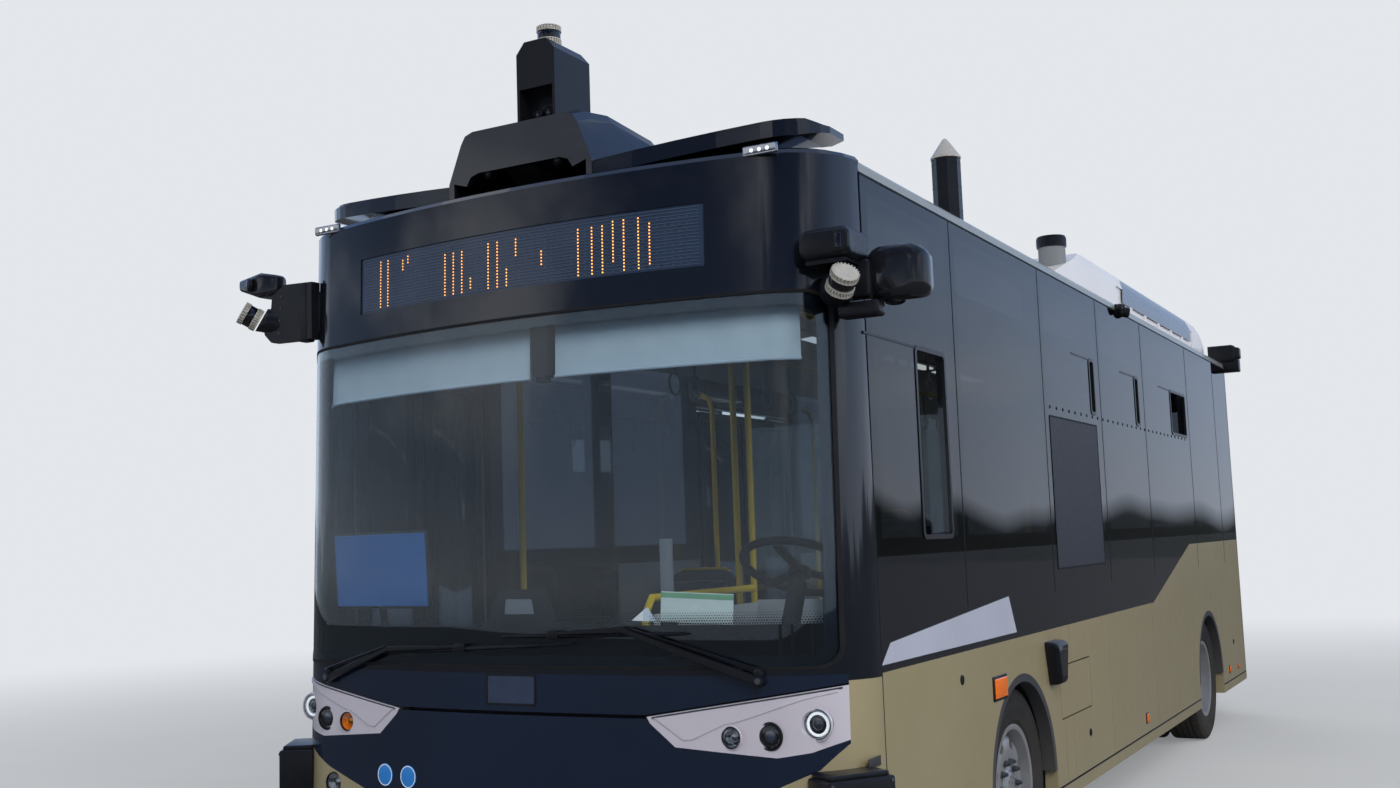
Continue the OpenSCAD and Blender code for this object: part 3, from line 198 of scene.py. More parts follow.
# What paint and glass mirror from below (0) through the horizon (0.5) to above (1)
AHEAD = [(0.0, (44, 46, 50)), (0.44, (58, 60, 66)), (0.492, (78, 82, 90)), (0.507, (176, 182, 192)),
         (0.55, (84, 104, 132)), (0.66, (30, 50, 86)), (0.85, (44, 68, 108)), (1.0, (96, 116, 148))]
BESIDE = [(0.0, (52, 54, 58)), (0.44, (76, 78, 80)), (0.492, (50, 54, 54)), (0.500, (196, 206, 222)),
          (0.58, (168, 192, 226)), (0.72, (120, 152, 204)), (0.88, (96, 126, 178)), (1.0, (140, 160, 196))]


def world():
    """A soft studio dome: pale to the camera. Paint and glass mirror a dark card ahead of the bus, paler ones at its
    sides, a bright horizon and soft clouds."""
    dome = bpy.context.scene.world = bpy.data.worlds.new("studio")
    dome.use_nodes = True
    dome.node_tree.nodes.clear()
    g = Graph(dome.node_tree)
    way = g.add("TexCoord", {}).outputs["Generated"]
    split = g.add("SeparateXYZ", {0: way}).outputs
    height = g.span(split["Z"], -1)
    ahead = g.ramp(height, *[(at, lin(*rgb)) for at, rgb in AHEAD])
    # Low hills and roofs make the mirrored horizon uneven
    ridge = g.noise(g.scaled(way, (1.0, 1.0, 0.0)), 5.0, 3.0, 0.6)
    lowered = g.maths("ADD", height, g.span(ridge, 0.35, 0.7, 0.0, -0.035))
    beside = g.ramp(lowered, *[(at, lin(*rgb)) for at, rgb in BESIDE])
    around = g.blend(g.span(split["Y"], -0.75, 0.35, kind="SMOOTHSTEP"), ahead, beside)
    # Clouds, flattened towards the horizon
    puffs = g.noise(g.scaled(way, (1.0, 1.0, 2.6)), 2.1, 5.0, 0.55)
    cover = g.maths("MULTIPLY", g.span(puffs, 0.50, 0.70, 0.0, 0.75, "SMOOTHSTEP"),
                    g.span(split["Z"], 0.0, 0.18, kind="SMOOTHSTEP"))
    sky = g.blend(cover, around, lin(232, 236, 242))
    path = g.add("LightPath", {}).outputs
    light = g.shader("Background", {"Color": lin(226, 230, 236), "Strength": 0.62})
    mirror = g.shader("Background", {"Color": sky, "Strength": 1.0})
    seen = g.shader("Background", {"Color": lin(*BACKDROP), "Strength": 1.0})
    lit = g.shader("MixShader", {0: path["Is Glossy Ray"], 1: light, 2: mirror})
    direct = g.maths("MAXIMUM", path["Is Camera Ray"], path["Is Transmission Ray"])
    g.add("OutputWorld", {"Surface": g.shader("MixShader", {0: direct, 1: lit, 2: seen})})


def area_light(name, at, aim, size, power, colour=(1, 1, 1)):
    """A soft rectangular lamp that is aimed at a point and is not mirrored itself."""
    data = bpy.data.lights.new(name, "AREA")
    data.shape = "RECTANGLE"
    data.size, data.size_y = size
    data.energy = power
    data.color = colour
    obj = link_in(name, data)
    obj.location = at
    obj.rotation_euler = (Vector(aim) - Vector(at)).to_track_quat("-Z", "Y").to_euler()
    obj.visible_glossy = obj.visible_transmission = False


def lights():
    area_light("key", (9, -11, 9), (0, -1, 1.2), (7, 7), 1500, (1.0, 0.97, 0.92))
    area_light("fill", (-11, -9, 5), (0, -1, 1.2), (8, 5), 420, (0.92, 0.95, 1.0))
    area_light("side", (13, 3, 6), (1, 0, 1.2), (10, 5), 650)
    area_light("back", (-6, 13, 8), (0, 1, 1.5), (9, 6), 520)


# ---------------------------------------------------------------- materials
def material(name, rgb, slot, rough=0.5, metallic=0.0, coat=0.0, coat_rough=0.05, vary=0.06, vary_scale=3.0,
             bump=0.0, bump_scale=400.0, rough_vary=0.08, dirt=0.0, spec=0.5, sheen=0.0):
    """A painted, moulded or metal surface with slow colour variation, uneven gloss, a fine texture and road dust."""
    mat, g, shader, coords = new_material(name, slot)
    base = lin(*rgb)[:3]
    colour = g.ramp(g.noise(coords, vary_scale, 5.0, 0.6), (0.3, (*[c * (1 - vary) for c in base], 1)),
                    (0.7, (*[min(1, c * (1 + vary)) for c in base], 1)))
    gloss = g.span(g.noise(coords, vary_scale * 9, 4.0), to_lo=max(0.0, rough - rough_vary),
                   to_hi=min(1.0, rough + rough_vary))
    if dirt:
        # Dust thrown up by the wheels: thick at the skirt and gone at the belt
        low = g.span(g.add("SeparateXYZ", {0: coords}).outputs["Z"], 1.0, 0.25)
        amount = g.maths("MULTIPLY", g.maths("MULTIPLY", low, g.noise(coords, 2.2, 8.0, 0.7)), dirt)
        colour = g.blend(amount, colour, lin(142, 134, 120))
        gloss = g.maths("ADD", gloss, amount)
    g.feed(shader, {"Metallic": metallic, "Coat Weight": coat, "Coat Roughness": coat_rough,
                    "Specular IOR Level": spec, "Sheen Weight": sheen, "Base Color": colour, "Roughness": gloss})
    if bump:
        g.feed(shader, {"Normal": g.bump(g.noise(coords, bump_scale, 3.0), bump, 0.001)})
    return mat


def glass(name, rgb, slot, film):
    """Clear or tinted glass, with a faint film of dust that catches the light."""
    mat, g, shader, coords = new_material(name, slot)
    mat["clear"] = 1
    base = lin(*rgb)
    noise = g.noise(coords, 2.5, 6.0)
    g.feed(shader, {"Transmission Weight": 1.0, "IOR": 1.5, "Roughness": g.span(noise, to_hi=film * 0.3),
                    "Base Color": g.ramp(noise, (0, (*[c * (1 - film) for c in base[:3]], 1)), (1, base))})
    return mat


def weave(name, rgb, slot, spot_rgb):
    """Woven moquette with spots: two yarns crossing, with a soft sheen."""
    mat, g, shader, coords = new_material(name, slot)
    cross = g.maths("MULTIPLY", *[
        g.add("TexWave", {"Vector": coords, "Scale": 900.0 / 6.28, "Distortion": 0.6},
              bands_direction=way).outputs["Fac"] for way in "XZ"])
    spots = g.span(g.add("TexVoronoi", {"Vector": coords, "Scale": 55.0}).outputs["Distance"], 0.25, 0.18)
    g.feed(shader, {"Roughness": 0.9, "Sheen Weight": 0.5, "Normal": g.bump(cross, 0.35, 0.0006),
                    "Base Color": g.blend(0.5, g.blend(spots, lin(*rgb), lin(*spot_rgb)), cross, "MULTIPLY")})
    return mat


def glow(name, rgb, slot, strength):
    """A lamp that is lit: uneven colour on its face, and light of its own."""
    mat = material(name, rgb, slot, rough=0.4, vary=0.05, vary_scale=80)
    shader = mat.node_tree.nodes["Principled BSDF"]
    shader.inputs["Emission Color"].default_value = lin(*rgb)
    shader.inputs["Emission Strength"].default_value = strength
    return mat


# Surfaces: colour, slot of the record, and how they differ from a plain one
PAINTS = {
    "gold_paint": ((160, 150, 119), "gold_paint", dict(rough=0.32, metallic=0.35, coat=0.45, coat_rough=0.06,
                                                       vary=0.04,
                   vary_scale=1.2, bump=0.02, bump_scale=2600, dirt=0.35)),
    "black_gloss": ((13, 16, 24), "black_gloss", dict(rough=0.14, coat=1.0, coat_rough=0.02, vary=0.15, vary_scale=1.5,
                    rough_vary=0.04, dirt=0.12)),
    "navy_gloss": ((14, 25, 44), "navy_paint", dict(rough=0.16, coat=1.0, coat_rough=0.02, vary=0.12, vary_scale=1.6,
                   rough_vary=0.04)),
    "housing_silver": ((204, 200, 212), "silver_trim", dict(rough=0.36, metallic=0.4, coat=0.5, coat_rough=0.1,
                       vary=0.03, vary_scale=3)),
    "chrome": ((205, 207, 212), "silver_trim", dict(rough=0.14, metallic=1.0, vary=0.05, vary_scale=20)),
    "cluster_gloss": ((20, 21, 25), "dark_plastic",
                      dict(rough=0.2, coat=0.8, coat_rough=0.08, vary=0.15, vary_scale=9)),
    "satin_black": ((17, 18, 22), "dark_plastic", dict(rough=0.32, vary=0.2, vary_scale=8, bump=0.05, bump_scale=900)),
    "rubber": ((22, 22, 24), "dark_plastic", dict(rough=0.72, vary=0.2, vary_scale=12, bump=0.12, bump_scale=600)),
    "tyre_rubber": ((27, 27, 28), "tyre_rubber", dict(rough=0.82, vary=0.25, vary_scale=9, bump=0.2, bump_scale=420,
                    dirt=0.18)),
    "dark_plastic": ((46, 48, 55), "dark_plastic", dict(rough=0.5, vary=0.1, vary_scale=5, bump=0.1, bump_scale=700,
                     dirt=0.3)),
    "white_paint": ((206, 206, 210), "white_paint", dict(rough=0.35, coat=0.3, vary=0.03, vary_scale=2, bump=0.03,
                    bump_scale=900)),
    "unit_panel": ((76, 84, 98), "dark_plastic", dict(rough=0.28, coat=0.6, vary=0.08, vary_scale=2)),
    "frame_steel": ((52, 54, 58), "steel_paint", dict(rough=0.55, metallic=0.5, vary=0.25, vary_scale=7, bump=0.15,
                    bump_scale=350)),
    "cantrail_paint": ((150, 150, 140), "cantrail_paint", dict(rough=0.34, metallic=0.5, coat=0.4, vary=0.05,
                       vary_scale=2)),
    "floor_covering": ((92, 94, 98), "floor_covering", dict(rough=0.6, vary=0.2, vary_scale=40, bump=0.2,
                       bump_scale=260)),
    "dash_plastic": ((30, 32, 37), "dark_plastic",
                     dict(rough=0.55, vary=0.1, vary_scale=4, bump=0.15, bump_scale=900)),
    "trim_grey": ((112, 116, 122), "white_plastic", dict(rough=0.55, vary=0.06, vary_scale=5, bump=0.1,
                  bump_scale=800)),
    "lining": ((176, 178, 180), "white_plastic", dict(rough=0.6, vary=0.04, vary_scale=3, bump=0.08, bump_scale=900)),
    "seat_shell": ((52, 58, 68), "seat_shell", dict(rough=0.45, vary=0.08, vary_scale=6, bump=0.1, bump_scale=900)),
    "rail_yellow": ((204, 172, 34), "rail_yellow", dict(rough=0.35, coat=0.4, vary=0.05, vary_scale=8)),
    "blind_cloth": ((190, 201, 208), "blind_cloth", dict(rough=0.85, vary=0.04, vary_scale=9, sheen=0.3)),
    "blind_case": ((178, 190, 200), "white_plastic", dict(rough=0.45, vary=0.04, vary_scale=5, bump=0.05)),
    "scanner_white": ((168, 166, 160), "white_plastic",
                      dict(rough=0.35, metallic=0.3, coat=0.3, vary=0.08, vary_scale=60)),
    "scanner_window": ((10, 10, 12), "dark_plastic", dict(rough=0.08, coat=1.0, vary=0.2, vary_scale=20)),
    "lens_dark": ((12, 14, 22), "dark_plastic", dict(rough=0.05, coat=1.0, vary=0.3, vary_scale=30)),
    "frit_black": ((8, 8, 10), "black_gloss", dict(rough=0.45, vary=0.2, vary_scale=10)),
    "smoked_glass": ((22, 26, 34), "black_gloss", dict(rough=0.07, coat=1.0, vary=0.1, vary_scale=9)),
    "camera_glass": ((44, 54, 74), "black_gloss", dict(rough=0.06, coat=1.0, vary=0.12, vary_scale=14)),
    "display_face": ((34, 47, 68), "black_gloss", dict(rough=0.3, coat=0.8, vary=0.08, vary_scale=5)),
    "display_hood": ((58, 72, 94), "dark_plastic", dict(rough=0.5, vary=0.08, vary_scale=20)),
    "display_lamp_off": ((92, 96, 104), "dark_plastic", dict(rough=0.4, vary=0.15, vary_scale=60)),
    "reflector": ((196, 200, 208), "silver_trim", dict(rough=0.12, metallic=1.0, vary=0.06, vary_scale=60)),
    "amber_reflector": ((240, 168, 70), "amber_lens", dict(rough=0.22, metallic=0.3, vary=0.1, vary_scale=60)),
    "projector_lens": ((44, 52, 70), "lamp_glass", dict(rough=0.04, coat=1.0, vary=0.3, vary_scale=40)),
    "wheel_silver": ((172, 174, 178), "rim_steel", dict(rough=0.36, metallic=0.7, vary=0.1, vary_scale=9, bump=0.05,
                     bump_scale=500, dirt=0.25)),
    "hub_silver": ((150, 152, 156), "rim_steel", dict(rough=0.42, metallic=0.6, vary=0.12, vary_scale=14)),
    "nut_steel": ((122, 124, 128), "cast_steel", dict(rough=0.38, metallic=0.9, vary=0.2, vary_scale=60)),
    "door_gear": ((126, 128, 132), "brushed", dict(rough=0.4, metallic=0.8, vary=0.1)),
    "cast_steel": ((70, 72, 76), "cast_steel", dict(rough=0.6, metallic=0.6, vary=0.3, vary_scale=14, bump=0.3,
                   bump_scale=260)),
    "sign_blue": ((34, 112, 186), "navy_paint", dict(rough=0.3, coat=0.4, vary=0.04)),
    "sign_white": ((226, 230, 234), "white_plastic", dict(rough=0.35, vary=0.03)),
    "notice_blue": ((42, 96, 158), "navy_paint", dict(rough=0.35, coat=0.5, vary=0.12, vary_scale=4)),
    "card_white": ((214, 222, 214), "white_plastic", dict(rough=0.6, vary=0.05, vary_scale=20)),
    "card_green": ((120, 170, 130), "white_plastic", dict(rough=0.6, vary=0.05, vary_scale=20)),
    "decal_silver": ((172, 178, 196), "silver_trim", dict(rough=0.35, metallic=0.2, coat=0.3, vary=0.05,
                     vary_scale=3)),
    "poster_grey": ((46, 48, 57), "dark_plastic", dict(rough=0.5, vary=0.05, vary_scale=4, spec=0.25)),
    "wheel_foam": ((24, 24, 26), "dark_plastic", dict(rough=0.6, vary=0.1, bump=0.2, bump_scale=1200)),
    "reflex_red": ((150, 18, 20), "amber_lens", dict(rough=0.2, coat=1.0, vary=0.2, vary_scale=200)),
    "lamp_amber_solid": ((226, 110, 20), "amber_lens", dict(rough=0.18, coat=1.0, vary=0.12, vary_scale=90)),
    "seam_black": ((9, 9, 11), "dark_plastic", dict(rough=0.6, vary=0.2, vary_scale=20)),
}


GLASSES = {
    "windshield_glass": ((198, 215, 228), "clear_glass", 0.05),
    "side_glass": ((60, 66, 76), "window_glass", 0.05),
    "screen_glass": ((225, 232, 232), "clear_glass", 0.05),
    "lamp_glass": ((238, 240, 242), "lamp_glass", 0.04),
    "marker_glass": ((226, 228, 232), "lamp_glass", 0.10),
    "lamp_amber_glass": ((255, 226, 176), "amber_lens", 0.06),
    "lamp_red_glass": ((196, 20, 22), "amber_lens", 0.10),
}


GLOWS = {
    "display_lamp_on": ((255, 168, 84), "amber_lens", 1.7),
    "drl_white": ((236, 240, 246), "lamp_glass", 0.9),
    "ceiling_lamp": ((236, 238, 240), "lamp_glass", 0.6),
}
FABRICS = {
    "seat_fabric": ((38, 52, 84), "seat_fabric", (88, 104, 136)),
    "driver_fabric": ((34, 36, 42), "seat_fabric", (54, 56, 64)),
}


def material_of(name):
    """A material by its name, made once."""
    if name in MATS:
        return MATS[name]
    if name in PAINTS:
        rgb, slot, more = PAINTS[name]
        return material(name, rgb, slot, **more)
    make, table = next((m, t) for m, t in ((glass, GLASSES), (glow, GLOWS), (weave, FABRICS)) if name in t)
    return make(name, *table[name])


CAD_FINISH = {
    "gold_paint": ["left_side", "right_side", "front_bumper", "rear_panel", "side_flap", "rear_hatch"],
    "black_gloss": ["front_mask", "left_window_band", "right_window_band", "rear_mask", "roof_fairing"],
    "navy_gloss": ["front_panel"],
    "housing_silver": ["lamp_housings"],
    "satin_black": ["sensor_tower", "corner_brackets", "wipers", "roof_fittings"],
    "dark_plastic": ["arch_lips", "wheel_boxes", "side_fittings"],
    "white_paint": ["roof", "air_conditioner"],
    "frame_steel": ["chassis", "battery_pack"],
    "cast_steel": ["front_axle", "rear_axle", "knuckle_left", "knuckle_right"],
    "cantrail_paint": ["cantrails"],
    "windshield_glass": ["windshield"],
    "side_glass": ["window_panes"],
    "screen_glass": ["driver_screen"],
    "floor_covering": ["floor"],
    "dash_plastic": ["dashboard"],
    "seat_shell": ["driver_seat", "passenger_seats"],
    "rail_yellow": ["grab_rails"],
    "blind_cloth": ["roller_blinds"],
    "scanner_white": ["scanners"],
    "display_face": ["route_display"],
    "wheel_foam": ["steering_wheel"],
    "door_gear": ["front_door_arm_1", "front_door_arm_2", "mid_door_arm_1", "mid_door_arm_2"],
    "lamp_glass": ["lamps"],
}


def dress_cad():
    """Gives every CAD node its finish."""
    for finish, names in CAD_FINISH.items():
        for name in names:
            set_material(NODES[name], finish)
            if finish in GLASSES:
                NODES[name].visible_shadow = False
    for name, node in NODES.items():
        for mark, finish in (("tyre", "tyre_rubber"), ("rim", "wheel_silver"), ("_leaf_", "black_gloss")):
            if mark in name:
                set_material(node, finish)


def soften_edges():
    """Breaks the hard edges of the moulded CAD solids, so that they catch the light."""
    for n, width in (("sensor_tower", 0.007), ("roof_fairing", 0.010), ("air_conditioner", 0.012)):
        mod = NODES[n].modifiers.new("edges", "BEVEL")
        mod.width = width
        mod.segments = 3
        mod.limit_method = "ANGLE"
        mod.angle_limit = math.radians(24)
        mod.harden_normals = True
        NODES[n].data.shade_smooth()


def set_material(obj, name):
    obj.data.materials.clear()
    obj.data.materials.append(material_of(name))


# ---------------------------------------------------------------- the nose's form
SKIRT_Z = 0.27
RAKE = math.radians(1.5)
side_lo, side_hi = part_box("left_side")
HALF_W = side_hi.x
NOSE_SEAM = side_lo.y
Y_FRONT_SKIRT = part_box("front_bumper")[0].y
Y_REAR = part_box("rear_panel")[1].y


class End:
    """The plan of the nose or the tail: one big arc between two corner arcs."""

    def __init__(self, big_r, corner_r):
        self.big_r, self.corner_r = big_r, corner_r
        self.xc = HALF_W - corner_r
        self.yc = big_r - math.sqrt((big_r - corner_r) ** 2 - self.xc * self.xc)
        self.half_angle = math.asin(self.xc / (big_r - corner_r))

    def depth(self, x, d):
        """How far a surface d inside the skin lies behind the skin's foremost line."""
        ax = abs(x)
        if ax <= (self.big_r - d) * math.sin(self.half_angle):
            return self.big_r - math.sqrt((self.big_r - d) ** 2 - ax * ax)
        r = self.corner_r - d
        return self.yc - math.sqrt(max(0, r * r - min(r, ax - self.xc) ** 2))

    def normal(self, x, depth):
        """The outward normal, with depth along +Y."""
        if depth > self.yc:
            return Vector((math.copysign(1, x), 0, 0))
        if abs(math.atan2(x, self.big_r - depth)) < self.half_angle:
            return Vector((x, depth - self.big_r, 0)).normalized()
        return Vector((x - math.copysign(self.xc, x), depth - self.yc, 0)).normalized()


NOSE, TAIL = End(4.6, 0.32), End(9.0, 0.18)


def unrake(p):
    """A point of the leaning nose in upright coordinates, with its face's foremost line at y = 0."""
    y, z = p.y - Y_FRONT_SKIRT, p.z - SKIRT_Z
    c, s = math.cos(RAKE), math.sin(RAKE)
    return Vector((p.x, y * c - z * s, y * s + z * c))


def lean(p):
    """The other way round: from upright nose coordinates to the bus."""
    c, s = math.cos(RAKE), math.sin(RAKE)
    return Vector((p.x, Y_FRONT_SKIRT + p.y * c + p.z * s, SKIRT_Z - p.y * s + p.z * c))


def lean_dir(v):
    """The same for a direction."""
    c, s = math.cos(RAKE), math.sin(RAKE)
    return Vector((v.x, v.y * c + v.z * s, -v.y * s + v.z * c))


def nose_normal(p):
    """The outward normal of the nose at a point on or near it."""
    q = unrake(p)
    return lean_dir(NOSE.normal(q.x, q.y))


def tail_normal(p):
    """The same for the rear."""
    n = TAIL.normal(p.x, Y_REAR - p.y)
    return Vector((n.x, -n.y, 0))


def round_normals(obj, normal_at, reach=0.96):
    """Gives the faces that follow a curved form that form's own normals, and leaves the rest flat."""
    me = obj.data
    normals = [None] * len(me.loops)
    for poly in me.polygons:
        for li in poly.loop_indices:
            n = normal_at(me.vertices[me.loops[li].vertex_index].co)
            d = n.dot(poly.normal)
            normals[li] = n * math.copysign(1, d) if abs(d) > reach else poly.normal
    me.shade_smooth()
    me.normals_split_custom_set(normals)


def smooth_cad():
    """Rounds the shading of the curved CAD nodes and keeps their edges sharp."""
    for names, normal_at in ((("front_bumper", "front_mask", "windshield", "front_panel", "lamp_housings",
                               "roller_blinds", "route_display"), nose_normal),
                             (("rear_panel", "rear_mask", "rear_hatch"), tail_normal)):
        for name in names:
            round_normals(NODES[name], normal_at)
    for name, node in NODES.items():
        if name.startswith(("tyre", "rim", "knuckle", "steering", "front_axle", "rear_axle", "scanners", "lamps",
                            "arch_lips", "wheel_boxes", "cantrails", "roof", "grab")):
            node.data.shade_smooth()
            node.data.set_sharp_from_angle(angle=math.radians(32))


SIDES = ((-1, "right"), (1, "left"))


def side_of(point):
    """Which side a point is on: the sign of its X, and the side's name."""
    return SIDES[point.x > 0]


def between(p, q, t):
    """The point at a share t of the way from p to q."""
    return [a + (b - a) * t for a, b in zip(p, q)]


def turns(n):
    """n equal angles round a full turn."""
    return [2 * math.pi * i / n for i in range(n)]


# ---------------------------------------------------------------- building meshes
class Shape:
    """Vertices and faces of one piece, gathered from simple solids."""

    def __init__(self):
        self.verts, self.faces = [], []

    def add(self, verts, faces, at=None):
        n = len(self.verts)
        self.verts += [at @ Vector(p) if at else Vector(p) for p in verts]
        self.faces += [tuple(i + n for i in f) for f in faces]
        return self

    def loft(self, loops, at=None, caps=True, ring=False):
        """Joins loops of equal length; with ring the last one joins the first."""
        n, m = len(loops[0]), len(loops)
        assert all(len(loop) == n for loop in loops)
        verts = [p for loop in loops for p in loop]
        faces = []
        for i in range(m if ring else m - 1):
            a, b = i * n, (i + 1) % m * n
            faces += [(a + j, a + (j + 1) % n, b + (j + 1) % n, b + j) for j in range(n)]
        if caps and not ring:
            faces += [tuple(range(n - 1, -1, -1)), tuple(range((m - 1) * n, m * n))]
        return self.add(verts, faces, at)

    def lathe(self, profile, n=32, at=None, caps=True, ring=False, r=1):
        """A profile of (radius, height) turned round Z, its radii as shares of r."""
        return self.loft([circle(r * share, h, n) for share, h in profile], at, caps, ring)

    def box(self, lo, hi, b=0.004, at=None, steps=2):
        """A box with rounded edges."""
        lo, hi = Vector(lo), Vector(hi)
        b = min(b, *((hi - lo) * 0.49))
        loops = []
        for i in range(2 * steps + 2):
            t = min(i, 2 * steps + 1 - i)
            a = t / steps * math.pi / 2
            inset = b * (1 - math.sin(a))
            z = lo.z + b * (1 - math.cos(a)) if i <= steps else hi.z - b * (1 - math.cos(a))
            loops.append([(x, y, z) for x, y in rounded(lo.x + inset, lo.y + inset, hi.x - inset, hi.y - inset,
                                                        max(b - inset, 0.0002), steps)])
        return self.loft(loops, at)

    def prism(self, outline, h0, h1, at=None, b=0.0):
        """An outline in X and Y between two heights, its front edge slightly broken."""
        mid = Vector((sum(p[0] for p in outline) / len(outline), sum(p[1] for p in outline) / len(outline)))
        small = [(p[0] + (mid.x - p[0]) * b, p[1] + (mid.y - p[1]) * b) for p in outline]
        loops = [[(*p, h0) for p in outline], [(*p, h1 - (h1 - h0) * 0.3 if b else h1) for p in outline]]
        if b:
            loops.append([(*p, h1) for p in small])
        return self.loft(loops, at)

    def tube(self, path, r, n=10, closed=False, at=None):
        """A round bar along a path."""
        pts = [Vector(p) for p in path]
        loops = []
        side = None
        for i, p in enumerate(pts):
            if closed:
                t = pts[(i + 1) % len(pts)] - pts[i - 1]
            else:
                t = pts[min(i + 1, len(pts) - 1)] - pts[max(i - 1, 0)]
            t.normalize()
            if side is None:
                side = t.orthogonal().normalized()
            side = (side - t * side.dot(t)).normalized()
            up = t.cross(side)
            loops.append([p + (side * math.cos(a) + up * math.sin(a)) * r for a in turns(n)])
        return self.loft(loops, at, caps=not closed, ring=closed)

    def band(self, point, outer, inner, d0, d1):
        """A flat band between two outlines, from the depth d0 to d1 on the surface that point gives."""
        return self.loft([[point(a, b, d) for a, b in line] for line, d in
                          ((outer, d0), (inner, d0), (inner, d1), (outer, d1))], ring=True)

    def plate(self, point, x0, x1, z0, z1, d0, d1, step=0.03):
        """A plate from x0 to x1 and z0 to z1, from the depth d0 to d1 on the surface that point gives."""
        n = max(2, math.ceil((x1 - x0) / step))
        return self.loft([[point(x, z, d) for z, d in ((z0, d0), (z1, d0), (z1, d1), (z0, d1))]
                          for x in [x0 + (x1 - x0) * i / n for i in range(n + 1)]])

    def dot(self, at, r, deep):
        """A small six-sided lens that ends in a point behind."""
        return self.add([(r * math.cos(a), r * math.sin(a), 0) for a in turns(6)] + [(0, 0, -deep)],
                        [(0, 1, 2, 3, 4, 5)] + [(k, 6, (k + 1) % 6) for k in range(6)], at)


def circle(r, h, n):
    """n points round Z at a height."""
    r = max(r, 0.0002)
    return [(r * math.cos(a), r * math.sin(a), h) for a in turns(n)]


def rounded(x0, y0, x1, y1, r, n=4):
    """Points of a rectangle with round corners, anticlockwise."""
    out = []
    for cx, cy, a0 in ((x1 - r, y0 + r, -90), (x1 - r, y1 - r, 0), (x0 + r, y1 - r, 90), (x0 + r, y0 + r, 180)):
        out += [(cx + r * math.cos(math.radians(a0 + 90 * i / n)), cy + r * math.sin(math.radians(a0 + 90 * i / n)))
                for i in range(n + 1)]
    return out


def rounded_fine(x0, y0, x1, y1, r, n=5, nx=76, ny=40):
    """The same rectangle with its straight edges cut into nx and ny parts."""
    pts = rounded(x0, y0, x1, y1, r, n)
    out = []
    for k in range(4):
        out += pts[k * (n + 1):(k + 1) * (n + 1)]
        a, b = Vector(out[-1]), Vector(pts[(k + 1) * (n + 1) % len(pts)])
        m = ny if k % 2 == 0 else nx
        out += [tuple(a + (b - a) * j / m) for j in range(1, m)]
    return out


move = Matrix.Translation


def spin(degrees, axis):
    return Matrix.Rotation(math.radians(degrees), 4, axis)


def facing(at, out, up=(0, 0, 1)):
    """A frame at a point with Z along out, and Y as near up as it can be."""
    z = Vector(out).normalized()
    x = Vector(up).cross(z).normalized()
    y = z.cross(x)
    return Matrix(((x.x, y.x, z.x, at[0]), (x.y, y.y, z.y, at[1]), (x.z, y.z, z.z, at[2]), (0, 0, 0, 1)))


def mesh_of(name, shape):
    """The shape as a mesh, its normals outwards."""
    me = bpy.data.meshes.new(name)
    me.from_pydata([tuple(v) for v in shape.verts], [], shape.faces)
    bm = bmesh.new()
    bm.from_mesh(me)
    bmesh.ops.recalc_face_normals(bm, faces=bm.faces)
    bm.to_mesh(me)
    bm.free()
    return me


def piece(name, shape, finish, body="body", replaces=(), angle=35):
    """Makes one piece of the scene from a shape, with the material of that name."""
    me, mat = mesh_of(name, shape), material_of(finish)
    me.materials.append(mat)
    me.shade_smooth()
    me.set_sharp_from_angle(angle=math.radians(angle))
    obj = link_in(name, me)
    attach(obj, body)
    if replaces:
        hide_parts(*replaces)
    if mat.get("clear"):
        obj.visible_shadow = False
    return obj


def islands(node):
    """Boxes of the separate solids in a CAD node, as (lowest, highest) corners."""
    me = NODES[node].data
    key, of_vert = {}, []
    for v in me.vertices:
        of_vert.append(key.setdefault(tuple(round(c, 5) for c in v.co), len(key)))
    parent = list(range(len(key)))

    def root(i):
        while parent[i] != i:
            parent[i] = parent[parent[i]]
            i = parent[i]
        return i

    for e in me.edges:
        a, b = (root(of_vert[i]) for i in e.vertices)
        parent[a] = b
    boxes = {}
    for v, i in zip(me.vertices, of_vert):
        lo, hi = boxes.setdefault(root(i), (v.co.copy(), v.co.copy()))
        for k in range(3):
            lo[k], hi[k] = min(lo[k], v.co[k]), max(hi[k], v.co[k])
    return sorted(boxes.values(), key=lambda b: tuple(round(c, 3) for c in b[0]))


# ---------------------------------------------------------------- nose: mapping and glass trim
def nose(x, z, d=0.0):
    """A point of the front at distance x from the middle and height z, d behind the skin."""
    return lean(Vector((x, NOSE.depth(x, d), z - SKIRT_Z)))


def nose_frame(x, z, d=0.0, ahead=True):
    """A frame on the nose with Z outwards: straight ahead, or square to the skin."""
    p = nose(x, z, d)
    out = lean_dir(Vector((0, -1, 0))) if ahead else nose_normal(p)
    return facing(p, out, lean_dir(Vector((0, 0, 1))))


SCREEN_X, SCREEN_Z0, SCREEN_Z1, SCREEN_R = 1.165, 1.092, 2.335, 0.06
PANE_T, SCREEN_RIM, WALL_T = 0.008, 0.045, 0.045
FRIT_TOP = 1.236


def screen_line(inset):
    """The windshield's outline, drawn in by an inset."""
    return rounded_fine(-SCREEN_X + inset, SCREEN_Z0 + inset, SCREEN_X - inset, SCREEN_Z1 - inset, SCREEN_R)


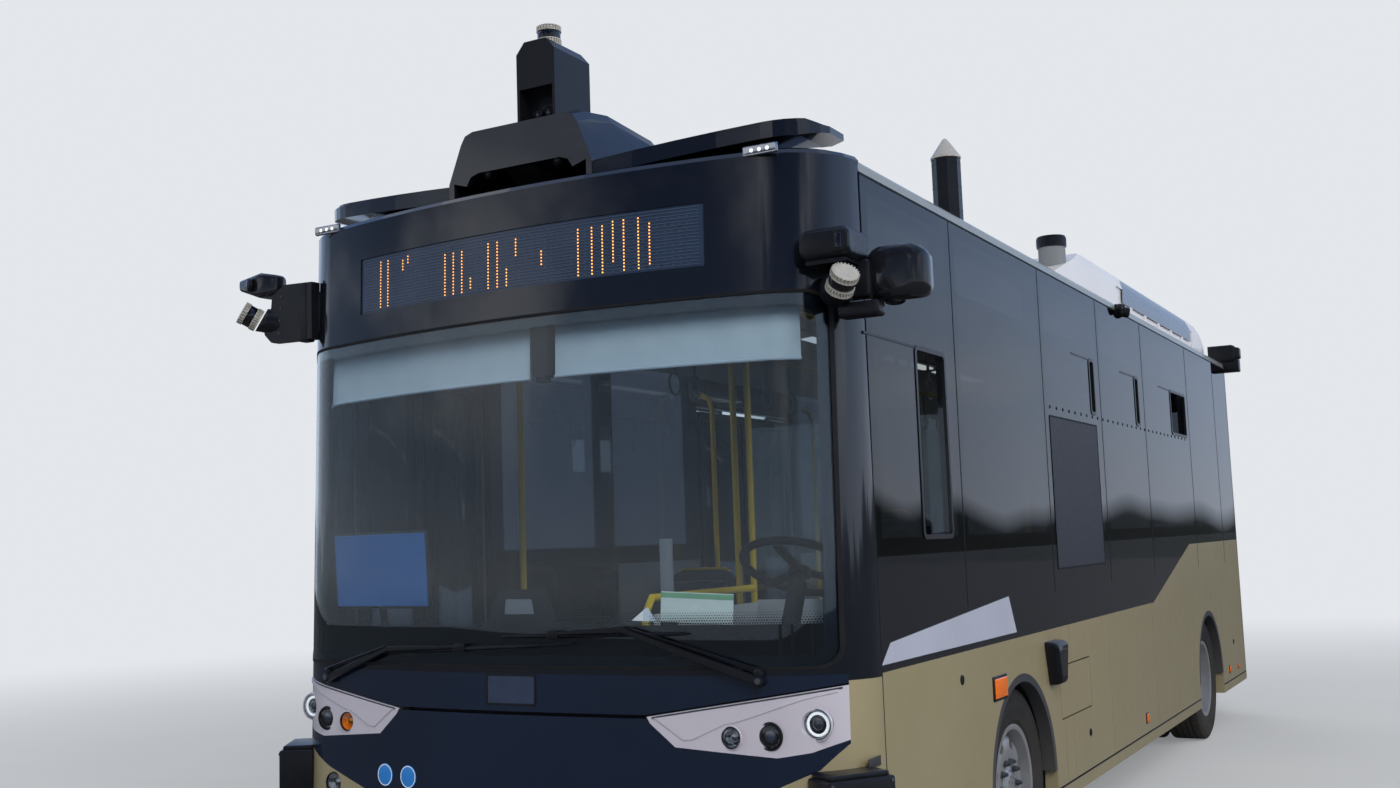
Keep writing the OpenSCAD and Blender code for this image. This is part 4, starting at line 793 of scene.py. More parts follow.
def windshield_trim():
    """Gasket, ceramic border with its dots, and the rain sensor."""
    piece("windshield_gasket", Shape().band(nose, screen_line(-0.002), screen_line(0.008), -0.0015, 0.004), "rubber")
    # Black ceramic border at the foot of the glass, with the dots that it ends in
    frit = Shape().plate(nose, -1.118, 1.118, SCREEN_Z0 + SCREEN_RIM - 0.005, FRIT_TOP, PANE_T + 0.0008,
                         PANE_T + 0.0016)
    # The border's hump in the middle, round the rain sensor's clear window
    outer = [(-0.113, FRIT_TOP - 0.001), (0.199, FRIT_TOP - 0.001), (0.172, 1.305), (0.155, 1.352), (0.143, 1.361),
             (-0.048, 1.363), (-0.061, 1.354), (-0.088, 1.305)]
    inner = [(-0.030, 1.276), (0.098, 1.276), (0.093, 1.302), (0.088, 1.324), (0.084, 1.328), (-0.020, 1.329),
             (-0.024, 1.325), (-0.027, 1.302)]
    frit.band(nose, outer, inner, PANE_T + 0.0008, PANE_T + 0.0016)
    piece("windshield_frit", frit, "frit_black")
    sensor = Shape().plate(nose, -0.033, 0.101, 1.272, 1.333, PANE_T + 0.0025, PANE_T + 0.018)
    piece("rain_sensor", sensor, "trim_grey")
    dots = Shape()
    for row in range(5):
        r = 0.0036 - row * 0.0005
        z = FRIT_TOP + 0.0045 + row * 0.0085
        for i in range(-126, 127):
            x = (i + 0.5 * (row % 2)) * 0.0088
            dots.dot(nose_frame(x, z, PANE_T + 0.0014, ahead=False), r, 0.0008)
    piece("windshield_frit_dots", dots, "frit_black")


BLIND_D = WALL_T + 0.0235
CLOTH_MARGIN = 0.017
CLOTH_NX, CLOTH_NZ = 48, 10


def cloth_xs(x0, x1):
    """Where the cloth's columns of points stand, between the ends x0 and x1 of its cassette."""
    return [x0 + CLOTH_MARGIN + (x1 - x0 - 2 * CLOTH_MARGIN) * j / CLOTH_NX for j in range(CLOTH_NX + 1)]


def blind_width(x0, x1):
    """How wide the cloth is along its curve."""
    curve = [nose(x, 2.2, BLIND_D) for x in cloth_xs(x0, x1)]
    return sum((b - a).length for a, b in zip(curve, curve[1:]))


def blinds():
    """Two roller blinds: cassette, hanging cloth and the rail in its hem."""
    z0, z1 = 2.118, 2.345
    for i, (side, x0, x1) in enumerate((("right", -1.09, 0.062), ("left", 0.136, 1.07))):
        cassette = Shape().plate(nose, x0, x1, 2.341, 2.426, WALL_T + 0.004, WALL_T + 0.048)
        box_piece = piece(f"blind_cassette_{side}", cassette, "blind_case")
        if i == 0:
            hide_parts("roller_blinds")
        rail = Shape().tube([nose(x0 + 0.016 + (x1 - x0 - 0.032) * k / 24, z0 - 0.004, BLIND_D) for k in range(25)],
                            0.0065, 8)
        rail_piece = piece(f"blind_rail_{side}", rail, "blind_case")
        grid, faces = [], []
        for k in range(CLOTH_NZ + 1):
            for j, x in enumerate(cloth_xs(x0, x1)):
                drift = 0.0010 * math.sin(j * 0.9 + i * 2) * k / CLOTH_NZ + 0.0007 * math.sin(j * 2.3 + k * 0.4)
                grid.append(nose(x, z1 + (z0 - z1) * k / CLOTH_NZ, BLIND_D + drift))
        for k in range(CLOTH_NZ):
            for j in range(CLOTH_NX):
                a = k * (CLOTH_NX + 1) + j
                faces.append((a, a + 1, a + CLOTH_NX + 2, a + CLOTH_NX + 1))
        cloth_piece = piece(f"blind_cloth_{side}", Shape().add(grid, faces), "blind_cloth")
        blind_width(x0, x1)
    # Wiring cover that stands between the two
    bar = Shape().plate(nose, 0.066, 0.132, 2.118, 2.43, WALL_T + 0.004, WALL_T + 0.06, step=0.033)
    bar.plate(nose, 0.078, 0.120, 2.098, 2.118, WALL_T + 0.01, WALL_T + 0.045, step=0.021)
    piece("blind_middle_cover", bar, "dash_plastic")


def display():
    """Lamps of the route display behind its window: dark rows of lens hoods, and plain amber columns."""
    rows, pitch, z_low = 17, 0.0118, 2.4555
    face = 0.006
    hoods = Shape()
    for k in range(rows + 1):
        z = z_low - pitch / 2 + k * pitch
        hoods.plate(nose, -0.755, 0.755, z - 0.0011, z + 0.0011, face - 0.0016, face, step=0.06)
    piece("display_hoods", hoods, "display_hood")
    dark, lit = Shape(), Shape()
    columns = {6: (0, 15), 9: (0, 16), 15: (11, 14), 17: (13, 15), 31: (0, 13), 34: (0, 13), 37: (0, 13), 40: (1, 4),
               46: (0, 14), 49: (0, 14), 52: (0, 5), 55: (9, 14), 63: (5, 9), 74: (0, 14), 78: (0, 14), 81: (0, 14),
               84: (3, 15), 87: (0, 15), 91: (0, 15), 94: (1, 13)}
    for c in range(106):
        x = -0.742 + c * 0.014
        span = columns.get(c)
        for k in range(rows - 1):
            on = span and span[0] <= k <= span[1]
            if not on and (c % 2 or k % 2):
                continue
            at = nose_frame(x, z_low + k * pitch, face - (0.0022 if on else 0.0004), ahead=False)
            (lit if on else dark).dot(at, 0.0032 if on else 0.0018, 0.0012)
    piece("display_lamps_dark", dark, "display_lamp_off")
    piece("display_lamps_lit", lit, "display_lamp_on")


EDGE_X0, EDGE_X1 = 0.536, 1.1725


def housing_top(x, z0):
    """The height of the lamp housing's rising upper edge, from z0 at its inner end."""
    return z0 + 0.1 * (x - EDGE_X0) / (EDGE_X1 - EDGE_X0)


def front_details():
    """Camera window, blank signs, bumper mesh, and the lamp housings' edges and brows."""
    # Camera window in the panel below the windshield, in a dark frame
    frame_piece = Shape()
    line0, line1 = rounded(-0.108, 0.962, 0.108, 1.070, 0.006), rounded(-0.101, 0.969, 0.101, 1.063, 0.004)
    frame_piece.band(nose, line0, line1, -0.0015, 0.006)
    piece("camera_window_frame", frame_piece, "satin_black")
    piece("camera_window", Shape().plate(nose, -0.1015, 0.1015, 0.9685, 1.0635, 0.0004, 0.0056), "camera_glass")
    # Two round signs, left blank
    for name, x in (("a", -0.607), ("b", -0.484)):
        sign = Shape().lathe([(0.041, -0.0005), (0.041, 0.0012), (0.0395, 0.0016)], 40,
                             nose_frame(x, 0.6915, 0, ahead=False))
        piece(f"front_sign_{name}", sign, "sign_blue")
        rim = Shape().lathe([(0.0385, 0.0012), (0.0385, 0.0021), (0.036, 0.0021), (0.036, 0.0012)], 40,
                            nose_frame(x, 0.6915, 0, ahead=False), ring=True)
        piece(f"front_sign_rim_{name}", rim, "sign_white")
    # Bumper slot's dark mesh
    grille = Shape()
    for k in range(5):
        grille.plate(nose, -0.425, 0.425, 0.388 + k * 0.0115, 0.393 + k * 0.0115, 0.012, 0.02, step=0.05)
    for k in range(-16, 17):
        grille.plate(nose, k * 0.026 - 0.0015, k * 0.026 + 0.0015, 0.386, 0.439, 0.014, 0.022, step=0.01)
    piece("bumper_grille", grille, "satin_black")
    # Silver edge along the top of each lamp housing, and the raised brow below it
    w = 0.0032
    marks = [(0.566, 0.9335), (0.575, 0.924), (0.668, 0.860), (0.700, 0.8635), (0.808, 0.913), (0.850, 0.921),
             (0.928, 0.946), (1.065, 0.993), (1.150, 1.013)]
    for s, side in SIDES:
        loops = []
        for i in range(17):
            x = 0.556 + (1.160 - 0.556) * i / 16
            z = housing_top(x, 0.936) - 0.006
            loops.append([nose(s * x, z - w, 0.0003), nose(s * x, z - w, -0.0022), nose(s * x, z + w, -0.0022),
                          nose(s * x, z + w, 0.0003)])
        piece(f"housing_edge_{side}", Shape().loft(loops), "chrome")
        loops = []
        for (x0, z0), (x1, z1) in zip(marks, marks[1:]):
            for k in range(4 if x1 < marks[-1][0] else 5):
                x, z_low = between((x0, z0), (x1, z1), k / 4)
                z_top = housing_top(x, 0.9285)
                b = min(0.004, (z_top - z_low) * 0.3)
                loops.append([nose(s * x, z_low, 0.0006), nose(s * x, z_low + b, -0.0042),
                              nose(s * x, z_top - b * 0.5, -0.0042), nose(s * x, z_top, 0.0006)])
        piece(f"housing_brow_{side}", Shape().loft(loops), "housing_silver")


# ---------------------------------------------------------------- lamps
def lamp_unit(name, at, r, kind, back=-0.024):
    """One round lamp: bezel, reflector, its light source and its clear lens."""
    bezel = Shape().lathe([(1.0, -0.010), (1.03, 0.0005), (1.02, 0.003), (0.95, 0.0035),
                           (0.91, 0.0005), (0.91, -0.006), (0.97, -0.010)], 48, at, ring=True, r=r)
    piece(f"{name}_bezel", bezel, "satin_black" if kind != "drl" else "chrome")
    bowl = Shape().lathe([(0.96, -0.004), (0.90, -0.010), (0.72, -0.018), (0.5, back),
                          (0.48, back - 0.002), (0.99, back - 0.002), (0.99, -0.004)], 48, at, ring=True, r=r)
    piece(f"{name}_bowl", bowl, "amber_reflector" if kind == "amber" else "reflector")
    core = Shape()
    if kind == "projector":
        core.lathe([(0.52, back - 0.001), (0.60, back + 0.006), (0.60, -0.004), (0.55, -0.0025)], 40, at, r=r)
    elif kind == "drl":
        core.lathe([(0.44, back - 0.001), (0.48, back + 0.004), (0.46, -0.007), (0.42, -0.006)], 40, at, r=r)
    else:
        core.lathe([(0.5, back - 0.001), (0.44, back + 0.004), (0.22, back + 0.009)], 32, at, r=r)
    piece(f"{name}_core", core, "satin_black" if kind in ("projector", "drl") else "reflector")
    if kind in ("projector", "drl"):
        k = 0.53 if kind == "projector" else 0.40
        dome = [(r * k * math.cos(a), -0.0035 + r * k * 0.28 * math.sin(a) - (0.003 if kind == "drl" else 0))
                for a in turns(24)[:7]]
        piece(f"{name}_projector", Shape().lathe(dome, 40, at), "projector_lens")
    if kind == "drl":
        ring = Shape().lathe([(r * (0.74 + 0.10 * math.cos(a)), -0.005 + r * 0.07 * math.sin(a))
                              for a in turns(10)], 48, at, ring=True)
        piece(f"{name}_light_ring", ring, "drl_white")
    lens = Shape().lathe([(0.93, -0.0015), (0.90, 0.0014), (0.6, 0.0028), (0.2, 0.0034),
                          (0.2, 0.0014), (0.6, 0.0008), (0.88, -0.0008)], 48, at, r=r)
    piece(f"{name}_lens", lens, "lamp_amber_glass" if kind == "amber" else "lamp_glass")


HEADLAMPS = [(0.8295, 0.874, 0.035), (0.9575, 0.880, 0.038), (1.0965, 0.916, 0.047)]


def front_lamps():
    """Head, fog and marker lamps, and the round lamps of the tail."""
    for s, side in SIDES:
        for (x, z, r), name in zip(HEADLAMPS, ("inner", "middle", "outer")):
            kind = {"inner": "amber" if s < 0 else "clear", "middle": "projector", "outer": "drl"}[name]
            lamp_unit(f"headlamp_{side}_{name}", nose_frame(s * x, z), r, kind)
            wide = 1.22 if name == "middle" else 1.16
            ring = Shape().lathe([(wide, -0.001), ((wide - 0.04), 0.0035), (1.05, 0.0045), (1.02, -0.002)],
                                 48, nose_frame(s * x, z), ring=True, r=r)
            piece(f"headlamp_{side}_{name}_ring", ring, "satin_black" if name == "middle" else "housing_silver")
        lamp_unit(f"fog_lamp_{side}", nose_frame(s * 0.9075, 0.640), 0.040, "clear")
    # Corner marker lamps on the roof's front edge and the round lamps of the tail
    tails = {side: iter((("reverse", "marker_glass"), ("turn", "lamp_amber_glass"), ("stop", "lamp_red_glass")))
             for side in ("right", "left")}
    for lo, hi in islands("lamps"):
        mid = (lo + hi) / 2
        s, side = side_of(mid)
        if mid.z > 2.6:
            half = (hi.x - lo.x) / 2
            base = Shape().box((-half - 0.004, -0.0185, -0.012), (half + 0.004, 0.0185, 0.0015), 0.006,
                               facing((mid.x, lo.y + 0.006, mid.z), (0, -1, 0)))
            piece(f"marker_{side}_base", base, "reflector")
            lens = Shape().box((-half, -0.0145, 0.0), (half, 0.0145, 0.0055), 0.006,
                               facing((mid.x, lo.y + 0.006, mid.z), (0, -1, 0)), 3)
            first = piece(f"marker_{side}_lens", lens, "marker_glass")
            leds = Shape()
            for k in range(3):
                leds.lathe([(0.007, 0.0012), (0.007, 0.0022), (0.004, 0.003)], 16,
                           facing((mid.x + (k - 1) * 0.03, lo.y + 0.005, mid.z), (0, -1, 0)))
            piece(f"marker_{side}_leds", leds, "drl_white")
        elif mid.y > 3.5:
            r = (hi.z - lo.z) / 2
            at = facing((mid.x, hi.y - 0.004, mid.z), (0, 1, 0))
            colour, lens_glass = next(tails[side])
            base = Shape().lathe([(0.99, -0.03), (1.02, -0.002), (1.02, 0.002), (0.94, 0.0035),
                                  (0.90, -0.001), (0.9, -0.03)], 48, at, ring=True, r=r)
            piece(f"tail_lamp_{side}_{colour}_base", base, "satin_black")
            back = Shape().lathe([(0.93, -0.028), (0.90, -0.020), (0.5, -0.026)], 40, at, r=r)
            piece(f"tail_lamp_{side}_{colour}_bowl", back, "reflector")
            rings = [(r * 0.92, -0.004)]
            for j in range(8):
                q = r * (0.88 - j * 0.1)
                rings += [(q, 0.002 + 0.0002 * j), (q - r * 0.05, 0.0032 + 0.0001 * j)]
            piece(f"tail_lamp_{side}_{colour}_lens", Shape().lathe(rings, 48, at), lens_glass)
    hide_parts("lamps")


# ---------------------------------------------------------------- wipers
BLADE_PARTS = 26


def wipers():
    """Arms, blades and their rubbers, which follow the glass."""
    # Pivot, bend and end of each arm; both ends of its blade
    table = {"left": ((0.930, 1.056), (0.464, 1.222), (0.190, 1.210), (0.694, 1.207), (-0.030, 1.200)),
             "right": ((-0.930, 1.036), (-0.576, 1.152), (-0.215, 1.164), (-0.700, 1.134), (0.268, 1.176))}
    for side, (pivot, bend, tip, b0, b1) in table.items():
        arm = Shape()
        for (p, q, w0, w1, n) in ((pivot, bend, 0.017, 0.0105, 14), (bend, tip, 0.0105, 0.0055, 10)):
            loops = []
            for i in range(n + 1):
                t = i / n
                x, z = between(p, q, t)
                w = w0 + (w1 - w0) * t
                up = 0.030 if p is pivot else 0.030 - 0.006 * t
                loops.append([nose(x, z - w, -up + 0.010), nose(x, z - w * 0.72, -up), nose(x, z + w * 0.55, -up),
                              nose(x, z + w, -up + 0.010)])
            arm.loft(loops)
        # Thin rod beside the arm
        rod = [(*between(pivot, bend, t), 0.026 * (1 - t) + 0.012) for t in (0.0, 0.25, 0.5, 0.75, 0.96)]
        arm.tube([nose(x, z + above, -0.020) for x, z, above in rod], 0.0045, 8)
        at = nose_frame(*pivot, 0, ahead=False)
        arm.lathe([(0.021, 0.0), (0.021, 0.022), (0.019, 0.031), (0.012, 0.0335)], 28, at)
        arm.lathe([(0.017, 0.0), (0.017, 0.024), (0.010, 0.030)], 24,
                  nose_frame(pivot[0], pivot[1] + 0.0225, 0, False))
        piece(f"wiper_arm_{side}", arm, "satin_black", replaces=("wipers",))
        cap = Shape().lathe([(0.011, 0.0315), (0.011, 0.0335), (0.006, 0.034)], 6, at)
        piece(f"wiper_nut_{side}", cap, "nut_steel")
        blade, rubber_edge = Shape(), Shape()
        back, lip = [], []
        for i in range(BLADE_PARTS + 1):
            t = i / BLADE_PARTS
            x, z = between(b0, b1, t)
            k = min(1, 6 * t, 6 * (1 - t)) * 0.5 + 0.5
            back.append([nose(x, z - 0.007 * k, -0.012), nose(x, z - 0.003 * k, -0.012 - 0.008 * k),
                         nose(x, z + 0.005 * k, -0.012 - 0.005 * k), nose(x, z + 0.007 * k, -0.011)])
            lip.append([nose(x, z - 0.0035, -0.0125), nose(x, z + 0.0035, -0.0125), nose(x, z + 0.001, -0.0006),
                        nose(x, z - 0.001, -0.0006)])
        blade.loft(back)
        rubber_edge.loft(lip)
        hold = b0[1] + (b1[1] - b0[1]) * (tip[0] - b0[0]) / (b1[0] - b0[0])
        blade.box((-0.024, -0.010, 0.012), (0.024, 0.010 + tip[1] - hold, 0.026), 0.004,
                  nose_frame(tip[0], hold, 0, False))
        piece(f"wiper_blade_{side}", blade, "satin_black")
        piece(f"wiper_rubber_{side}", rubber_edge, "rubber")


# ---------------------------------------------------------------- wheels
GROOVES, GROOVE_HALF = 4, 0.0045
# Parts round the tyre; every third one is sunk
TREAD_PARTS = 156


def tyre_shape(mid, r, width, bead, y, z):
    """A tyre with four grooves and sunk blocks on its shoulders."""
    at = facing((mid, y, z), (1, 0, 0))
    half = width / 2
    prof = [(bead, -half + 0.026), (bead + 0.016, -half + 0.017), (bead + 0.030, -half + 0.009),
            (bead + 0.034, -half + 0.0075), (bead + 0.040, -half + 0.0085),
            (bead + 0.075, -half + 0.0015), (bead + 0.095, -half + 0.0005), (bead + 0.100, -half + 0.002),
            (bead + 0.112, -half + 0.002), (r - 0.034, -half + 0.002), (r - 0.020, -half + 0.009)]
    tread = [(r - 0.007, -half + 0.017), (r - 0.002, -half + 0.028)]
    g = GROOVE_HALF
    x = -half + 0.028
    for _ in range(GROOVES):
        x += (width - 0.056) / (GROOVES + 1)
        tread += [(r - 0.001, x - g), (r - 0.010, x - g * 0.6), (r - 0.010, x + g * 0.6), (r - 0.001, x + g)]
    tread += [(r - 0.002, half - 0.028), (r - 0.007, half - 0.017)]
    other = [(q, -h) for q, h in reversed(prof)]
    profile = prof + tread + other
    n = TREAD_PARTS
    shoulder = {i for i, (q, h) in enumerate(profile) if abs(h) > half - 0.032 and q > r - 0.024}
    ribs = {i for i, (q, h) in enumerate(profile) if q > r - 0.003 and abs(h) < half - 0.03}
    verts, faces = [], []
    for j, a in enumerate(turns(n)):
        sunk = j % 3 == 2
        for i, (q, h) in enumerate(profile):
            rr = q - (0.0065 if sunk and i in shoulder else 0.0035 if sunk and i in ribs else 0)
            verts.append((rr * math.cos(a), rr * math.sin(a), h))
    m = len(profile)
    for j in range(n):
        for i in range(m):
            a, b = j * m, (j + 1) % n * m
            faces.append((a + i, b + i, b + (i + 1) % m, a + (i + 1) % m))
    return Shape().add(verts, faces, at)


def cut_holes(shape, cutters):
    """The shape with the cutters taken away, as new vertices and faces."""
    objs = [link_in("work", mesh_of("work", s)) for s in (shape, cutters)]
    mod = objs[0].modifiers.new("cut", "BOOLEAN")
    mod.operation = "DIFFERENCE"
    mod.solver = "EXACT"
    mod.object = objs[1]
    bpy.context.view_layer.update()
    done = objs[0].evaluated_get(bpy.context.evaluated_depsgraph_get()).to_mesh()
    out = Shape().add([v.co.copy() for v in done.vertices], [tuple(p.vertices) for p in done.polygons])
    for o in objs:
        bpy.data.objects.remove(o)
    return out


# Radii of the circles that the hand holes, the nuts and the cap's screws stand on
HAND_HOLES_R, NUTS_R, CAP_SCREWS_R = 0.181, 0.1055, 0.041


def ring_of(n, r, start):
    """Places round a circle, from a start angle in degrees."""
    angles = [math.radians(i * 360 / n + start) for i in range(n)]
    return [move((r * math.cos(a), r * math.sin(a), 0)) for a in angles]


def rim_shapes(side, mid, bead, y, z, deep):
    """Barrel, dish with hand holes, hub and nuts. side is 1 where the outside is +X."""
    at = facing((mid, y, z), (side, 0, 0))
    barrel = Shape().lathe([(bead + q, h) for q, h in (
        (-0.013, -0.108), (0.014, -0.1085), (0.0145, -0.104), (-0.0002, -0.098), (-0.003, -0.05), (-0.03, -0.01),
        (-0.003, 0.05), (-0.0002, 0.098), (0.0145, 0.104), (0.014, 0.1085), (0.004, 0.1095), (-0.008, 0.106),
        (-0.012, 0.09), (-0.013, 0.06), (-0.038, 0.0), (-0.014, -0.06))], 72, at, ring=True)
    if not deep:
        face = [(bead - 0.020, 0.036), (bead - 0.030, 0.060), (bead - 0.052, 0.078), (0.135, 0.084), (0.100, 0.077),
                (0.082, 0.077)]
    else:
        face = [(bead - 0.020, 0.030), (bead - 0.034, 0.012), (bead - 0.060, -0.020), (0.150, -0.042), (0.110, -0.046),
                (0.082, -0.046)]
    dish = Shape().lathe(face + [(q, h - 0.011) for q, h in reversed(face)], 72, ring=True)
    holes = Shape()
    for spot in ring_of(8, HAND_HOLES_R, 22.5):
        holes.lathe([(0.025, -0.12), (0.025, 0.12)], 24, spot)
    dish = cut_holes(dish, holes)
    dish.verts = [at @ v for v in dish.verts]
    flat = face[-1][1]
    hub = Shape()
    top = 0.095 if not deep else 0.060
    hub.lathe([(0.083, flat - 0.012), (0.083, flat + 0.004), (0.074, flat + 0.008), (0.068, flat + 0.012),
               (0.066, top - 0.012), (0.058, top - 0.003), (0.050, top), (0.02, top), (0.018, top - 0.003)], 48, at)
    nuts = Shape()
    for spot in ring_of(10, NUTS_R, 0):
        m = at @ spot @ move((0, 0, flat))
        nuts.lathe([(0.0165, -0.002), (0.0165, 0.003), (0.0135, 0.0035)], 20, m)
        nuts.lathe([(0.0135, 0.0032), (0.0135, 0.018), (0.011, 0.020)], 6, m)
        nuts.lathe([(0.008, 0.0195), (0.008, 0.030), (0.0065, 0.0315)], 12, m)
    for spot in ring_of(8, CAP_SCREWS_R, 10):
        nuts.lathe([(0.006, top - 0.0002), (0.006, top + 0.0006), (0.0045, top + 0.001)], 6, at @ spot)
    return barrel, dish, hub, nuts


# The tyres' middles from the bus's middle, their width and the radius of their bead
OUTER_X, INNER_X, TYRE_W, BEAD_R = 1.053, 0.773, 0.245, 0.2475
HUB_R = 0.083


def wheels():
    """Tyres and rims, the rear ones in pairs, each turning with its own body."""
    for where in ("front_left", "front_right", "rear_left", "rear_right"):
        front = where.startswith("front")
        side = 1 if where.endswith("left") else -1
        tyre_node, rim_node, body = (f"{what}{'' if front else 's'}_{where}" for what in ("tyre", "rim", "wheel"))
        lo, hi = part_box(tyre_node)
        y, z, r = (lo.y + hi.y) / 2, (lo.z + hi.z) / 2, (hi.z - lo.z) / 2
        mids = [side * OUTER_X] if front else [side * OUTER_X, side * INNER_X]
        shape = Shape()
        for m in mids:
            t = tyre_shape(m, r, TYRE_W, BEAD_R + 0.0001, y, z)
            shape.add(t.verts, t.faces)
        piece(f"tyre_{where}_tread", shape, "tyre_rubber", body, (tyre_node,), angle=28)
        barrel, dish, hub, nuts = rim_shapes(side, mids[0], BEAD_R, y, z, not front)
        if front:
            sleeve = OUTER_X - 0.02, OUTER_X + 0.07
        else:
            inner = rim_shapes(-side, mids[1], BEAD_R, y, z, True)
            for a, b in ((barrel, inner[0]), (dish, inner[1])):
                a.add(b.verts, b.faces)
            sleeve = INNER_X - 0.06, OUTER_X - 0.03
        barrel.lathe([(HUB_R, h) for h in sleeve], 32, facing((0, y, z), (side, 0, 0)))
        piece(f"rim_{where}_barrel", barrel, "wheel_silver", body, (rim_node,))
        piece(f"rim_{where}_dish", dish, "wheel_silver", body)
        piece(f"rim_{where}_hub", hub, "hub_silver", body)
        piece(f"rim_{where}_nuts", nuts, "nut_steel", body)


# ---------------------------------------------------------------- scanners and cameras
def scanner(name, at):
    """A spinning scanner: ribbed white base, dark window and finned cap."""
    r = 0.049
    base = Shape().lathe([(r - 0.006, 0.0), (r - 0.001, 0.001), (r - 0.001, 0.006), (r - 0.006, 0.008),
                          (r - 0.006, 0.020), (r - 0.002, 0.022), (r - 0.002, 0.0258), (r - 0.006, 0.026)], 48, at)
    for a in turns(28):
        base.box((r - 0.0075, -0.0024, 0.007), (r - 0.0005, 0.0024, 0.0225), 0.001, at @ Matrix.Rotation(a, 4, "Z"), 1)
    piece(f"{name}_base", base, "scanner_white")
    band = Shape().lathe([(r - 0.005, 0.0255), (r - 0.0042, 0.027), (r - 0.0042, 0.0545), (r - 0.005, 0.0565)], 48, at)
    piece(f"{name}_window", band, "scanner_window")
    cap = Shape().lathe([(r - 0.005, 0.056), (r - 0.001, 0.0568), (r - 0.001, 0.0595), (r - 0.007, 0.061),
                         (r - 0.007, 0.073),
                         (r - 0.004, 0.0755), (r - 0.010, 0.0795), (r - 0.020, 0.080), (r - 0.024, 0.0785)], 48, at)
    for a in turns(24):
        cap.box((r - 0.024, -0.0022, 0.0598), (r - 0.0008, 0.0022, 0.0785), 0.0012, at @ Matrix.Rotation(a, 4, "Z"), 1)
    return piece(f"{name}_cap", cap, "scanner_white")


def aim(tilt, turn):
    """A direction that leans from upright by one angle, turned from the bus's front by another."""
    a, b = math.radians(tilt), math.radians(turn)
    return Vector((math.sin(b) * math.sin(a), -math.cos(b) * math.sin(a), math.cos(a)))


SCAN_AXES = {"left": aim(50, 48), "right": aim(62, -38.5)}


def scanners():
    """A scanner in place of each CAD solid: upright on the tower, leaning out at the corners."""
    for lo, hi in islands("scanners"):
        mid = (lo + hi) / 2
        if abs(mid.x) < 0.3:
            axis, up, where = Vector((0, 0, 1)), (0, 1, 0), "top"
        else:
            where = side_of(mid)[1]
            axis, up = SCAN_AXES[where], (0, 0, 1)
        last = scanner(f"scanner_{where}", facing(mid - axis * 0.040, axis, up))
    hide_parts("scanners")


# ---------------------------------------------------------------- doors
LEAF_X, LEAF_HALF_T = -1.1915, 0.022


def door_leaves():
    """Frame with its pivots, glass and seals of each leaf."""
    for door in ("front", "mid"):
        for number in (1, 2):
            door_leaf(f"{door}_door_leaf_{number}", f"{door}_leaf_{number}")


def door_leaf(node, body):
    lo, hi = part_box(node)
    z0, z1 = lo.z + 0.020, hi.z - 0.020
    y0, y1 = lo.y, hi.y
    xm = LEAF_X
    x0, x1 = xm - LEAF_HALF_T, xm + LEAF_HALF_T

    def opening(grow):
        return rounded(y0 + 0.058 - grow, z0 + 0.110 - grow, y1 - 0.058 + grow, z1 - 0.058 + grow, 0.03 + grow, 5)

    inner = opening(0)
    outer = rounded(y0 + 0.004, z0, y1 - 0.004, z1, 0.006, 5)
    frame_s = Shape().loft([[(x, y, z) for y, z in line] for line, x in
                            ((outer, x0 + 0.002), (inner, x0), (inner, x1), (outer, x1 - 0.002))], ring=True)
    for z in (lo.z, z1 - 0.001):
        frame_s.lathe([(0.0125, 0.0), (0.0125, 0.0208)], 20, move((xm, (y0 + y1) / 2, z)))
    piece(f"{node}_frame", frame_s, "black_gloss", body, (node,))
    pane = Shape().box((xm - 0.004, y0 + 0.05, z0 + 0.102), (xm + 0.004, y1 - 0.05, z1 - 0.05), 0.0015)
    piece(f"{node}_glass", pane, "side_glass", body)
    seal = Shape()
    grown = opening(0.004)
    for sx, out in ((x0, -1), (x1, 1)):
        seal.loft([[(x, y, z) for y, z in line] for line, x in
                   ((grown, sx - out * 0.001), (grown, sx + out * 0.0012), (inner, sx + out * 0.0012),
                    (inner, sx - out * 0.014))], ring=True)
    for ya, yb in ((y0, y0 + 0.006), (y1 - 0.006, y1)):
        seal.box((xm - 0.016, ya, z0 + 0.003), (xm + 0.016, yb, z1 - 0.003), 0.002)
    piece(f"{node}_seals", seal, "rubber", body)


# ---------------------------------------------------------------- sides
PANE_Z0, PANE_Z1 = 1.434, 2.756
LEFT_SEAMS = [-2.79, -1.53, -0.40, 0.72, 2.17, 3.28]
RIGHT_SEAMS = [-2.695, -1.70, -0.714, 0.714, 2.17, 3.28]
# Open sliding windows: start and end along the bus, bottom and top
SLIDERS = [(-3.23, -2.93, 1.502, 2.19), (-0.61, -0.53, 2.122, 2.396), (0.48, 0.56, 2.122, 2.396),
           (1.56, 2.06, 2.122, 2.396)]


SEAM_FOOT_Z = 0.29
ARCH_REACH = 0.49
FRONT_AXLE_Y, REAR_AXLE_Y = -2.14, 2.40


def side_band(shape, outer, inner, x0, x1):
    """A flat band on the driver's side between two outlines of Y and Z."""
    return shape.band(lambda y, z, x: (x, y, z), outer, inner, x0, x1)


def side_plate(shape, outline, x0, x1):
    return shape.loft([[(x, y, z) for y, z in outline] for x in (x0, x1)])


